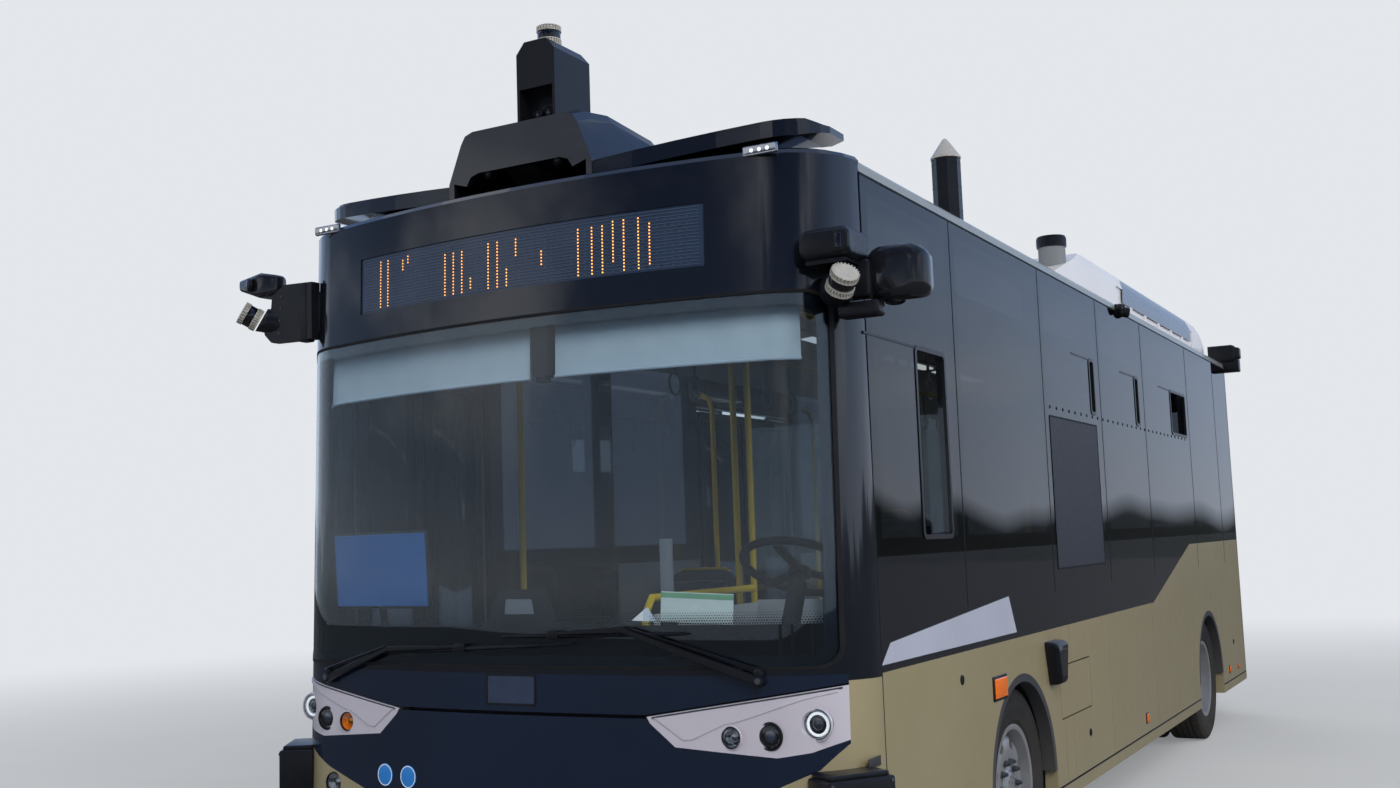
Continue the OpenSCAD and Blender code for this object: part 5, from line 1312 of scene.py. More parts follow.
def sides():
    """Joints, gutters, caps and locks of both sides, and the driver's side's panels and sliding windows."""
    y_end = side_hi.y
    for s, side, seams in ((1, "left", LEFT_SEAMS), (-1, "right", RIGHT_SEAMS)):
        mirror = Matrix.Scale(s, 4, (1, 0, 0))
        # Sealed joints between the flush panes, and the long ones above and below them
        joints = Shape()
        for y in seams:
            joints.box((HALF_W - 0.003, y - 0.0045, PANE_Z0 - 0.22), (HALF_W + 0.0008, y + 0.0045, PANE_Z1), 0.0006,
                       mirror, 1)
        joints.box((HALF_W - 0.003, NOSE_SEAM, PANE_Z1 - 0.002), (HALF_W + 0.001, y_end, PANE_Z1 + 0.007), 0.0006,
                   mirror, 1)
        for y in (NOSE_SEAM, y_end):
            joints.box((HALF_W - 0.003, y - 0.003, SEAM_FOOT_Z), (HALF_W + 0.0006, y + 0.003, PANE_Z1), 0.0006, mirror,
                       1)
        piece(f"window_joints_{side}", joints, "seam_black")
        # Rubber gutter above the skirt rail, between the arches and the doors
        gutter = Shape()
        front, rear_start = FRONT_AXLE_Y + ARCH_REACH, REAR_AXLE_Y - ARCH_REACH
        gaps = [(NOSE_SEAM + 0.02, FRONT_AXLE_Y - ARCH_REACH), (front, rear_start)]
        if s < 0:
            gaps = [(NOSE_SEAM + 0.02, -3.635), (front, -0.66), (0.66, rear_start)]
        for y0, y1 in gaps + [(REAR_AXLE_Y + ARCH_REACH, y_end - 0.02)]:
            gutter.box((HALF_W - 0.004, y0, 0.3255), (HALF_W + 0.0022, y1, 0.3345), 0.0015, mirror, 1)
        piece(f"skirt_gutter_{side}", gutter, "seam_black")
        # Row of small caps above the panes' middle
        caps = Shape()
        y = -1.43
        while y < 2.08:
            if s > 0 or y > 0.72:
                caps.lathe([(0.0085, -0.001), (0.0085, 0.0018), (0.006, 0.0026)], 10,
                           facing((s * HALF_W, y, 2.095), (s, 0, 0)))
            y += 0.118
        piece(f"pane_caps_{side}", caps, "seam_black")
        # Round locks and filler caps
        knobs = Shape()
        for ky, kz in [(-2.907, 0.947), (-1.045, 0.504), (3.40, 0.60)] if s > 0 else [(-1.20, 0.504), (3.40, 0.60)]:
            at = facing((s * HALF_W, ky, kz), (s, 0, 0))
            knobs.lathe([(0.019, -0.001), (0.019, 0.003), (0.016, 0.0045), (0.012, 0.004), (0.0115, 0.0025)], 28, at)
            knobs.box((-0.009, -0.002, 0.002), (0.009, 0.002, 0.0038), 0.0006, at, 1)
        piece(f"side_locks_{side}", knobs, "satin_black")
    # Silver panel behind the driver's front corner, left blank
    field = [(-3.700, 1.0745), (-3.615, 1.143), (-2.262, 1.231), (-2.174, 1.0745)]
    piece("side_panel_left", side_plate(Shape(), field, HALF_W - 0.001, HALF_W + 0.0012), "decal_silver")
    # Notice board between two panes, left blank, in a thin frame
    piece("side_notice", side_plate(Shape(), rounded(-1.45, 1.32, -0.53, 2.05, 0.006), HALF_W - 0.001,
                                    HALF_W + 0.0014), "poster_grey")
    piece("side_notice_edge", side_band(Shape(), rounded(-1.455, 1.315, -0.525, 2.055, 0.008),
                                        rounded(-1.447, 1.323, -0.533, 2.047, 0.006), HALF_W - 0.0005,
                                        HALF_W + 0.0024), "seam_black")
    # Sliding windows' frames, on the driver's side
    frames = Shape()
    for y0, y1, z0, z1 in SLIDERS:
        w = 0.016
        side_band(frames, rounded(y0 - w, z0 - w, y1 + w, z1 + w, 0.03),
                  rounded(y0 + 0.002, z0 + 0.002, y1 - 0.002, z1 - 0.002, 0.016),
                  HALF_W - 0.010, HALF_W + 0.0035)
        reach = 0.50 if z1 < 2.3 else 0.36
        frames.box((HALF_W - 0.002, y0 - reach, z1 + 0.002), (HALF_W + 0.002, y0 - 0.01, z1 + 0.012), 0.001, None, 1)
    piece("slider_frames", frames, "satin_black")


def side_fittings():
    """Side lamps, the tapered covers behind the front arches, and the corner plates behind the front bumper."""
    done = None
    count = {"left": 0, "right": 0}
    for lo, hi in islands("side_fittings"):
        mid = (lo + hi) / 2
        s, side = side_of(mid)
        count[side] += 1
        k = count[side]
        out = max(abs(lo.x), abs(hi.x)) - HALF_W
        hy, hz = (hi.y - lo.y) / 2, (hi.z - lo.z) / 2
        at = facing((s * HALF_W, mid.y, mid.z), (s, 0, 0))
        if hz > 0.09:
            cover = Shape()
            outline = rounded_taper(0.052, 0.100, 0.104, 0.020)
            cover.loft([[(x * g, y * g, h) for x, y in outline]
                        for h, g in ((0.0, 1.0), (0.035, 0.97), (0.052, 0.90), (0.0595, 0.80))], at)
            done = piece(f"side_cover_{side}", cover, "satin_black")
            lid = Shape().loft([[(x * g, y * g, h) for x, y in outline] for h, g in ((0.058, 0.62), (0.0598, 0.60))],
                               at)
            lid.lathe([(0.012, 0.059), (0.012, 0.06)], 24, at)
            piece(f"side_cover_lid_{side}", lid, "lens_dark")
        else:
            base = Shape().box((-hy, -hz, -0.001), (hy, hz, out * 0.45), 0.004, at)
            done = piece(f"side_lamp_base_{side}_{k}", base, "satin_black")
            lens = Shape().box((-hy * 0.86, -hz * 0.8, out * 0.3), (hy * 0.86, hz * 0.8, out * 0.99), 0.006, at, 3)
            piece(f"side_lamp_lens_{side}_{k}", lens, "lamp_amber_solid")
            ribs = Shape()
            n = max(4, int(hy * 2 / 0.009))
            for i in range(1, n):
                x = -hy * 0.8 + hy * 1.6 * i / n
                ribs.box((x - 0.0012, -hz * 0.7, out * 0.97), (x + 0.0012, hz * 0.7, out * 1.0), 0.0005, at, 1)
            piece(f"side_lamp_ribs_{side}_{k}", ribs, "lamp_amber_solid")
    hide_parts("side_fittings")
    # Grey quarter-round step behind each front corner, under the lamp housing
    plates = Shape()
    for s in (-1, 1):
        at = facing((s * (HALF_W - 0.0005), -3.80, 0.774), (s, 0, 0))
        plates.box((-0.05, -0.016, -0.001), (0.05, 0.016, 0.003), 0.003, at)
    piece("corner_step_plates", plates, "dark_plastic")


def rounded_taper(half_low, half_h, half_top, r):
    """Outline of a shape that is wider at the top than at the foot, with broken corners."""
    raw = [(-half_low, -half_h), (half_low, -half_h), (half_top, half_h), (-half_top, half_h)]
    out = []
    for i, p in enumerate(raw):
        a, b, c = Vector(raw[i - 1]), Vector(p), Vector(raw[(i + 1) % 4])
        u, v = (a - b).normalized(), (c - b).normalized()
        for t in (0, 0.25, 0.5, 0.75, 1):
            p0, p2 = b + u * r, b + v * r
            q = p0 * (1 - t) ** 2 + b * 2 * t * (1 - t) + p2 * t ** 2
            out.append(tuple(q))
    return out


# ---------------------------------------------------------------- roof
def roof_equipment():
    """Beacon post, vent and the pairs of side cameras under the roof's edge."""
    boxes = islands("roof_fittings")
    tall = max(boxes, key=lambda b: b[1].z)
    vent = [b for b in boxes if b is not tall and b[0].z > 2.85][0]
    eyes = [b for b in boxes if b[1].z < 2.85]
    # Beacon post: eight-sided dark post with a white cone on it
    lo, hi = tall
    mid = (lo + hi) / 2
    r = (hi.x - lo.x) / 2 * 0.93
    z1 = hi.z - 0.100
    at = move((mid.x, mid.y, 0)) @ Matrix.Rotation(math.pi / 8, 4, "Z")
    post = Shape().lathe([(r, lo.z), (r, z1 - 0.004), (r * 0.97, z1)], 8, at)
    for k in range(3):
        post.lathe([(1.015, z1 - 0.03 - 0.11 * k), (1.015, z1 - 0.026 - 0.11 * k)], 8, at, r=r)
    post_piece = piece("beacon_post", post, "satin_black", angle=20)
    cone = Shape().lathe([(r * 1.05, z1), (r * 1.05, z1 + 0.010), (r * 0.98, z1 + 0.014), (r * 0.55, z1 + 0.058),
                          (r * 0.26, z1 + 0.086), (r * 0.14, z1 + 0.096), (0.002, z1 + 0.0998)], 40, at)
    piece("beacon_cone", cone, "scanner_white")
    foot = Shape().lathe([(1.2, 2.853), (1.2, 2.889), (1.05, 2.8925)], 32, at, r=r)
    piece("beacon_foot", foot, "dark_plastic")
    # Vent: ribbed cap on a grey body
    lo, hi = vent
    mid = (lo + hi) / 2
    r = (hi.x - lo.x) / 2
    at = move((mid.x, mid.y, 0))
    piece("vent_body", Shape().lathe([(0.9, lo.z + 0.002), (0.9, hi.z - 0.067)], 48, at, r=r), "trim_grey")
    cap = Shape().lathe([(0.90, hi.z - 0.068), (0.99, hi.z - 0.066), (0.99, hi.z - 0.014), (0.93, hi.z - 0.004),
                         (0.6, hi.z - 0.0005)], 48, at, r=r)
    for a in turns(32):
        cap.box((r * 0.985, -0.002, hi.z - 0.060), (r * 0.998, 0.002, hi.z - 0.018), 0.0008,
                at @ Matrix.Rotation(a, 4, "Z"), 1)
    piece("vent_cap", cap, "satin_black")
    # Pairs of side cameras under the roof's edge
    for lo, hi in eyes:
        mid = (lo + hi) / 2
        s, side = side_of(mid)
        tag = "front" if mid.y < 0.2 else "rear"
        mate = -0.35 if tag == "front" else 0.35
        at = facing((s * (HALF_W + 0.012), mid.y, mid.z), (s, mate, -0.25))
        eye = Shape().lathe([(0.024, -0.012), (0.029, -0.002), (0.031, 0.010), (0.030, 0.024), (0.027, 0.031),
                             (0.021, 0.033), (0.019, 0.028), (0.012, 0.0265)], 32, at)
        root = s * (HALF_W + 0.005)
        eye.box((root - 0.007, mid.y - 0.028, mid.z - 0.026), (root + 0.007, mid.y + 0.028, mid.z + 0.026), 0.004)
        piece(f"side_camera_{side}_{tag}", eye, "satin_black")
        glass_eye = Shape().lathe([(0.018, 0.0262), (0.017, 0.028), (0.010, 0.0298), (0.003, 0.0304)], 24, at)
        piece(f"side_camera_lens_{side}_{tag}", glass_eye, "lens_dark")
    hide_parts("roof_fittings")


LID_SLOPE = 0.020 / 0.9


def roof_unit():
    """The roof unit's dark side panels, fans and seams, and the roof's escape hatch."""
    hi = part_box("air_conditioner")[1]
    for s, side in SIDES:
        panel = Shape()
        y0, y1, foot, high = 1.08, 3.45, 2.955, 0.172
        # Rounded ends: how far along, and the share of its full height that the panel has there
        quarter = [math.pi / 2 * i / 10 for i in range(11)]
        stations = [(y0 + 0.10 * (1 - math.cos(a)), math.sin(a)) for a in quarter]
        stations += [(y1 - 0.16 * (1 - math.cos(a)), math.sin(a)) for a in reversed(quarter)]
        loops = []
        for y, share in stations:
            ridge = foot + high * max(share, 0.03)
            outer, inner = [], []
            for k, z in enumerate((foot, 3.050, 3.110, ridge)):
                z = min(z, ridge - 0.0004 * (3 - k))
                wide = unit_x(z, hi.x)
                outer.append((s * (wide + 0.0008), y, z))
                inner.append((s * (wide - 0.004), y, z))
            loops.append(outer + inner[::-1])
        panel.loft(loops)
        piece(f"unit_side_panel_{side}", panel, "unit_panel")
    top = hi.z
    fans, grilles = Shape(), Shape()
    for y in (1.35, 2.15, 2.95):
        for x in (-0.42, 0.42):
            z = top - LID_SLOPE * abs(x)
            tilt = Matrix.Rotation(math.copysign(math.atan(LID_SLOPE), x), 4, "Y")
            at = move((x, y, z + 0.0005)) @ tilt
            fans.lathe([(0.235, -0.01), (0.235, 0.001), (0.222, 0.006), (0.205, 0.003), (0.205, -0.01)], 64, at,
                       ring=True)
            for k in range(7):
                q = 0.03 + k * 0.027
                grilles.lathe([(q + 0.0022, 0.0), (q + 0.0022, 0.0035), (q - 0.0022, 0.0035), (q - 0.0022, 0.0)], 48,
                              at, ring=True)
            for a in range(6):
                grilles.box((0.0, -0.003, -0.001), (0.207, 0.003, 0.0025), 0.001,
                            at @ Matrix.Rotation(a * math.pi / 3, 4, "Z"), 1)
    piece("unit_fan_rings", fans, "trim_grey")
    piece("unit_fan_grilles", grilles, "satin_black")
    seams = Shape()
    for y in (0.78, 1.75, 2.55, 3.50):
        for s in (-1, 1):
            line = [(s * 0.002, top - 0.002), (s * 0.002, top + 0.0012), (s * 0.895, top - 0.0187),
                    (s * 0.895, top - 0.022)]
            seams.loft([[(x, yy, z) for x, z in line] for yy in (y - 0.003, y + 0.003)])
    piece("unit_seams", seams, "seam_black")
    # Escape hatch in the roof ahead of the unit
    hatch = Shape().box((-0.36, -1.62, 2.893), (0.36, -0.98, 2.922), 0.020, None, 4)
    hatch.box((-0.31, -1.57, 2.92), (0.31, -1.03, 2.934), 0.012, None, 3)
    piece("roof_hatch", hatch, "white_paint")
    rim = Shape()
    outline, inside = rounded(-0.385, -1.645, 0.385, -0.955, 0.03), rounded(-0.355, -1.615, 0.355, -0.985, 0.02)
    rim.loft([[(x, y, z) for x, y in line] for line, z in ((outline, 2.889), (outline, 2.904), (inside, 2.904),
                                                           (inside, 2.889))], ring=True)
    piece("roof_hatch_rim", rim, "rubber")


def unit_x(z, x):
    """The roof unit's half width at a height."""
    marks = [(2.90, 0), (3.050, 0), (3.110, 0.022), (3.165, 0.082), (3.190, 0.150)]
    for (z0, d0), (z1, d1) in zip(marks, marks[1:]):
        if z <= z1:
            return x - d0 - (d1 - d0) * max(0, z - z0) / (z1 - z0)
    return x - 0.150


# Turn of the low corner boxes, and the places of their middle and of the tail boxes
LOW_BOX_TURN = math.radians(56)
LOW_BOX_OUT, TAIL_BOX_IN = 0.028, 0.150
SCANNER_CUP_R = 0.0535


def along_y(shape, sections):
    """A moulded form of rounded rectangles along the left front corner: (y, x0, z0, x1, z1, r), x from the side."""
    return shape.loft([[(x, Y_FRONT_SKIRT + y, z) for x, z in rounded(HALF_W + x0, z0, HALF_W + x1, z1, r, 5)]
                       for y, x0, z0, x1, z1, r in sections])


def along_x(shape, s, mid_y, sections):
    """The same outwards from a side: (x, y0, z0, y1, z1, r), x from the side and y from mid_y."""
    return shape.loft([[(s * (HALF_W + x), y, z) for y, z in rounded(mid_y + y0, z0, mid_y + y1, z1, r, 5)]
                       for x, y0, z0, y1, z1, r in sections])


def scanner_pod(shape, root, r_root, cup, axis, r_cup):
    """A round boss that bends from its root to the cup of a scanner."""
    root, cup, axis = Vector(root), Vector(cup), Vector(axis).normalized()
    way = (cup - root).normalized()
    loops = []
    for i in range(9):
        t = i / 8
        c = root.lerp(cup, t) + axis * (0.012 * math.sin(math.pi * t))
        d = way.lerp(axis, t).normalized()
        at = facing(c, d, (0, 0, 1))
        r = r_root + (r_cup - r_root) * t
        loops.append([at @ Vector(p) for p in circle(r, 0, 32)])
    return shape.loft(loops)


def clusters():
    """The moulded camera housings at the body's corners, in place of their plainer CAD forms."""
    y = Y_FRONT_SKIRT
    left, hull, foot = Shape(), Shape(), Shape()
    h = HALF_W
    along_y(left, [(0.150, -0.092, 2.430, 0.061, 2.496, 0.018), (0.153, -0.101, 2.421, 0.070, 2.505, 0.024),
                   (0.164, -0.105, 2.415, 0.074, 2.511, 0.027), (0.190, -0.101, 2.406, 0.067, 2.519, 0.026),
                   (0.324, -0.100, 2.405, 0.066, 2.520, 0.026), (0.330, -0.094, 2.411, 0.060, 2.514, 0.022)])
    left.box((h - 0.040, y + 0.280, 2.290), (h + 0.090, y + 0.340, 2.420), 0.014, None, 4)
    along_y(left, [(0.172, -0.090, 2.398, 0.055, 2.412, 0.006), (0.310, -0.090, 2.398, 0.055, 2.412, 0.006)])
    left_piece = piece("cluster_left_camera", left, "satin_black", angle=50)
    along_y(hull, [(0.302, 0.112, 2.312, 0.216, 2.440, 0.040), (0.306, 0.094, 2.295, 0.236, 2.452, 0.044),
                   (0.318, 0.070, 2.285, 0.256, 2.460, 0.046), (0.338, 0.055, 2.281, 0.269, 2.456, 0.044),
                   (0.362, 0.050, 2.280, 0.272, 2.450, 0.040), (0.394, 0.050, 2.284, 0.270, 2.446, 0.040),
                   (0.400, 0.060, 2.292, 0.262, 2.438, 0.036)])
    hull.box((h + 0.020, y + 0.338, 2.335), (h + 0.080, y + 0.392, 2.445), 0.016, None, 4)
    piece("cluster_left_housing", hull, "cluster_gloss", angle=60)
    foot.box((h - 0.020, y + 0.250, 2.225), (h + 0.128, y + 0.320, 2.276), 0.012, None, 3)
    scanner_pod(foot, (h - 0.020, y + 0.262, 2.322), 0.060, (h + 0.0262, y + 0.1735, 2.312), SCAN_AXES["left"],
                SCANNER_CUP_R)
    piece("cluster_left_foot", foot, "satin_black", angle=50)
    # The right corner: a plate in two halves, the scanner's boss and the camera housing above it
    plate, eye, boss = Shape(), Shape(), Shape()
    outline = [(0.140, 2.379), (-0.089, 2.384), (-0.126, 2.419), (-0.136, 2.459), (-0.089, 2.529), (-0.084, 2.579),
               (-0.014, 2.619), (0.140, 2.614)]
    turn = move((-h, y + 0.211, 0)) @ Matrix(((1, 0, 0, 0), (0, 0, -1, 0), (0, 1, 0, 0), (0, 0, 0, 1)))
    plate.prism(outline, 0.0, 0.045, turn, 0.006)
    plate.box((-h + 0.066, y + 0.164, 2.371), (-h + 0.116, y + 0.211, 2.616), 0.008, None, 3)
    plate.box((-h + 0.006, y + 0.201, 2.399), (-h + 0.156, y + 0.311, 2.579), 0.014, None, 3)
    piece("cluster_right_plate", plate, "satin_black", angle=50)
    along_x(eye, -1, y, [(0.272, 0.170, 2.628, 0.222, 2.660, 0.010), (0.268, 0.162, 2.620, 0.230, 2.668, 0.016),
                         (0.160, 0.152, 2.581, 0.240, 2.683, 0.020), (0.146, 0.151, 2.579, 0.241, 2.685, 0.020),
                         (0.074, 0.165, 2.588, 0.232, 2.670, 0.018), (0.064, 0.172, 2.596, 0.226, 2.662, 0.014)])
    piece("cluster_right_camera", eye, "cluster_gloss", angle=60)
    scanner_pod(boss, (-h - 0.050, y + 0.215, 2.454), 0.050, (-h - 0.1595, y + 0.1805, 2.489), SCAN_AXES["right"],
                SCANNER_CUP_R)
    piece("cluster_right_foot", boss, "satin_black", angle=50)
    # Low boxes on both front corners, and the ones under the roof's rear corners
    for s, side in SIDES:
        low = Shape()
        at = move((s * (h + LOW_BOX_OUT), y + 0.180, 0)) @ Matrix.Rotation(LOW_BOX_TURN * s, 4, "Z")
        low.box((-0.125, 0.0, 0.550), (0.125, 0.130, 0.7485), 0.008, at, 3)
        low.box((-0.110, 0.012, 0.745), (0.110, 0.130, 0.764), 0.006, at, 3)
        piece(f"low_box_{side}", low, "satin_black", angle=50)
        tail_box, yb = Shape(), Y_REAR - TAIL_BOX_IN
        along_x(tail_box, s, yb, [(x, -w, z0, w, z1, r) for x, w, z0, z1, r in (
            (-0.120, 0.070, 2.820, 2.960, 0.016), (0.062, 0.070, 2.820, 2.960, 0.020),
            (0.078, 0.066, 2.826, 2.954, 0.024), (0.092, 0.054, 2.840, 2.940, 0.024),
            (0.114, 0.050, 2.845, 2.935, 0.022), (0.120, 0.044, 2.851, 2.929, 0.018))])
        mid = s * (h + 0.025)
        tail_box.box((mid - 0.085, yb - 0.050, 2.740), (mid + 0.085, yb + 0.050, 2.845), 0.010, None, 3)
        piece(f"rear_sensor_box_{side}", tail_box, "satin_black", angle=50)
    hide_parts("corner_brackets")


def sensor_details():
    """Lenses and screws of the camera boxes in the roof's middle, on the corners and at the tail."""
    lo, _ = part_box("sensor_tower")
    tower_y = lo.y + 0.046
    lens, ring, screws = Shape(), Shape(), Shape()
    # Two cameras in the tower, and two in the mouth of the roof hood
    for place, out, r in ([((x, tower_y, 3.157), (0, -1, 0), 0.014) for x in (-0.026, 0.026)]
                          + [((x, -4.000, 2.912), (x * 0.9, -1, -0.12), 0.013) for x in (-0.16, 0.16)]):
        at = facing(place, out)
        ring.lathe([(1.5, -0.030), (1.5, 0.0), (1.2, 0.004), (1.05, 0.0015), (1.05, -0.02)], 28, at, r=r)
        lens.lathe([(r, -0.002), (r * 0.8, 0.001), (r * 0.4, 0.0022)], 24, at)
    # Side cameras of the corner clusters and the tail, and the low corner boxes
    for s in (-1, 1):
        if s > 0:
            at = facing((HALF_W + 0.150, -3.80, 2.279), (0.1, -0.2, -1))
            ring.lathe([(0.034, -0.006), (0.034, 0.003), (0.028, 0.006), (0.022, 0.001)], 32, at)
            lens.lathe([(0.024, 0.000), (0.016, 0.0035), (0.006, 0.005)], 28, at)
            at = facing((HALF_W + 0.040, -3.999, 2.463), (0.05, -1, 0))
            ring.box((-0.018, -0.036, -0.006), (0.018, 0.036, 0.004), 0.008, at, 3)
            lens.box((-0.011, -0.026, 0.000), (0.011, 0.026, 0.0062), 0.007, at, 3)
        else:
            at = facing((-HALF_W - 0.198, -4.006, 2.636), (-0.55, -1, 0))
            ring.lathe([(0.028, -0.01), (0.028, 0.003), (0.023, 0.006)], 32, at)
            lens.lathe([(0.021, 0.001), (0.014, 0.007), (0.006, 0.0085)], 28, at)
        out = Vector((math.sin(LOW_BOX_TURN) * s, -math.cos(LOW_BOX_TURN), 0))
        at = facing(Vector((s * (HALF_W + LOW_BOX_OUT), -3.97, 0.649)) + out * 0.0006, out)
        ring.box((-0.095, -0.055, -0.004), (0.095, 0.055, 0.0012), 0.002, at, 1)
        lens.box((-0.083, -0.044, 0.0), (0.083, 0.044, 0.0022), 0.003, at, 2)
        for dx in (-0.112, 0.112):
            for dz in (-0.085, 0.085):
                screws.lathe([(0.006, -0.001), (0.006, 0.0016), (0.004, 0.0024)], 8, at @ move((dx, dz, 0)))
        at = facing((s * (HALF_W + 0.1201), 4.0, 2.89), (s, 0.0, 0))
        ring.lathe([(0.038, -0.012), (0.038, -0.004), (0.032, -0.0005), (0.025, -0.003)], 32, at)
        lens.lathe([(0.026, -0.003), (0.018, -0.0012), (0.008, -0.0004)], 28, at)
        # Plate screws of the right cluster
        for dz in (0.02, 0.07, 0.12, 0.17) if s < 0 else ():
            screws.lathe([(0.0055, -0.001), (0.0055, 0.002), (0.0035, 0.003)], 8,
                         facing((-HALF_W - 0.045 + dz * 0.1, -3.984, 2.40 + dz), (0, -1, 0)))
    piece("sensor_lens_rings", ring, "satin_black")
    piece("sensor_lenses", lens, "lens_dark")
    piece("sensor_screws", screws, "nut_steel")


# ---------------------------------------------------------------- tail
def tail(x, z, d=0.0):
    """A point of the rear, d inside its skin."""
    return Vector((x, Y_REAR - TAIL.depth(x, d), z))


def rear():
    """Rear window's trim, the engine hatch's fittings and the reflectors."""
    gasket = Shape()
    a = rounded_fine(-0.9525, 1.498, 0.9525, 2.502, 0.062, 5, 40, 20)
    b = rounded_fine(-0.940, 1.511, 0.940, 2.489, 0.055, 5, 40, 20)
    gasket.band(tail, a, b, -0.0014, 0.004)
    piece("rear_window_gasket", gasket, "rubber")
    frit = Shape()
    b2 = rounded_fine(-0.900, 1.551, 0.900, 2.449, 0.05, 5, 40, 20)
    frit.band(tail, b, b2, 0.0168, 0.0176)
    piece("rear_window_frit", frit, "frit_black")
    # On the engine hatch: air slots, handles and the holder for a plate, which is left blank
    slats = Shape()
    for k in range(9):
        z = 0.70 + k * 0.030
        slats.plate(tail, -0.52, 0.52, z, z + 0.012, -0.0012, 0.002, 0.04)
        slats.plate(tail, -0.52, 0.52, z + 0.012, z + 0.016, -0.0004, 0.002, 0.04)
    piece("hatch_slats", slats, "satin_black", "hatch")
    edge = Shape().band(tail, rounded_fine(-0.55, 0.68, 0.55, 0.985, 0.02, 4, 24, 6),
                        rounded_fine(-0.53, 0.695, 0.53, 0.97, 0.012, 4, 24, 6),
                        -0.0014, 0.002)
    piece("hatch_slat_frame", edge, "dark_plastic", "hatch")
    holder = Shape().band(tail, rounded_fine(-0.27, 1.060, 0.27, 1.190, 0.012, 4, 12, 4),
                          rounded_fine(-0.258, 1.070, 0.258, 1.180, 0.006, 4, 12, 4),
                        -0.0014, 0.002)
    piece("plate_holder", holder, "satin_black", "hatch")
    plate = Shape().plate(tail, -0.258, 0.258, 1.070, 1.180, -0.0008, 0.001, 0.04)
    piece("plate_blank", plate, "card_white", "hatch")
    handles = Shape()
    for x in (-0.66, 0.66):
        c = tail(x, 0.74)
        at = facing(c, (0, 1, 0))
        handles.lathe([(0.022, -0.001), (0.022, 0.004), (0.018, 0.006)], 28, at)
        handles.box((-0.014, -0.004, 0.005), (0.014, 0.004, 0.012), 0.002, at)
    piece("hatch_locks", handles, "nut_steel", "hatch")
    # Reflectors at the bumper, the high stop lamp and the route window
    for s, side in SIDES:
        refl = Shape().plate(tail, s * 0.93 - 0.07, s * 0.93 + 0.07, 0.43, 0.475, -0.006, 0.001, 0.05)
        piece(f"rear_reflector_{side}", refl, "reflex_red")
    piece("rear_high_stop_lamp", Shape().plate(tail, -0.62, 0.62, 2.600, 2.625, -0.0014, 0.001, 0.04), "reflex_red")
    piece("rear_route_window", Shape().plate(tail, -0.50, 0.50, 2.545, 2.575, -0.0014, 0.001, 0.04), "smoked_glass")


# ---------------------------------------------------------------- cab and cabin
CHANNEL_DEPTH = 0.009
# How far the cloth may move, its grain and the frames it is given
PAD_CAP, PAD_VOXEL, PAD_FRAMES = 0.009, 0.0065, 20


def pad_form(size, crown, channels):
    """The cut form of a cushion in its own coordinates: crowned above, flat below, pulled in between its corners."""
    w, l, t = size
    nx, ny, nt = 22, 22, 5
    verts, faces = [], []
    grids = []
    for top in (0, 1):
        rows = []
        for j in range(ny + 1):
            row = []
            for i in range(nx + 1):
                a, b = i / nx * 2 - 1, j / ny * 2 - 1
                pull = 1 - 0.035 * (1 - abs(a) ** 4) * abs(b) ** 6 - 0.035 * (1 - abs(b) ** 4) * abs(a) ** 6
                x = a * math.sqrt(1 - b * b * 0.10) * w / 2 * pull
                y = b * math.sqrt(1 - a * a * 0.10) * l / 2 * pull
                edge = max(0, (max(abs(a), abs(b)) - 0.82) / 0.18)
                shrink = 1 - 0.05 * max(0, (edge * 0.18 - 0.04) / 0.14) ** 2
                if top:
                    dome = (1 - a ** 4) * (1 - b ** 4)
                    z = t / 2 * 0.72 + crown * dome - t * 0.20 * edge ** 2
                    for c in channels:
                        z -= CHANNEL_DEPTH * math.exp(-((y - c * l) / 0.009) ** 2) * min(1, dome * 4)
                else:
                    z = -t / 2 + 0.10 * t * edge ** 2
                verts.append((x * shrink, y * shrink, z))
                row.append(len(verts) - 1)
            rows.append(row)
        grids.append(rows)
        for j in range(ny):
            for i in range(nx):
                q = (rows[j][i], rows[j][i + 1], rows[j + 1][i + 1], rows[j + 1][i])
                faces.append(q if top else q[::-1])
    rims = [[g[0][i] for i in range(nx)] + [g[j][nx] for j in range(ny)] + [g[ny][i] for i in range(nx, 0, -1)]
            + [g[j][0] for j in range(ny, 0, -1)] for g in grids]
    low, n = rims[0], len(rims[0])
    for k in range(1, nt):
        f = k / nt
        bulge = 1 + 0.045 * math.sin(math.pi * f)
        row = []
        for i in range(n):
            p = Vector(verts[rims[0][i]]).lerp(Vector(verts[rims[1][i]]), f)
            verts.append((p.x * bulge, p.y * bulge, p.z))
            row.append(len(verts) - 1)
        faces += [(low[i], low[(i + 1) % n], row[(i + 1) % n], row[i]) for i in range(n)]
        low = row
    faces += [(low[i], low[(i + 1) % n], rims[1][(i + 1) % n], rims[1][i]) for i in range(n)]
    return verts, faces


PAD_KINDS = {"seat": ((0.396, 0.335, 0.052), 0.008, (-0.22, 0.12)),
             "back": ((0.378, 0.46, 0.040), 0.006, (-0.2, 0.0, 0.2))}
PADS = {}
# Solids whose middles are nearer than this belong to one seat
SAME_SEAT = 0.3


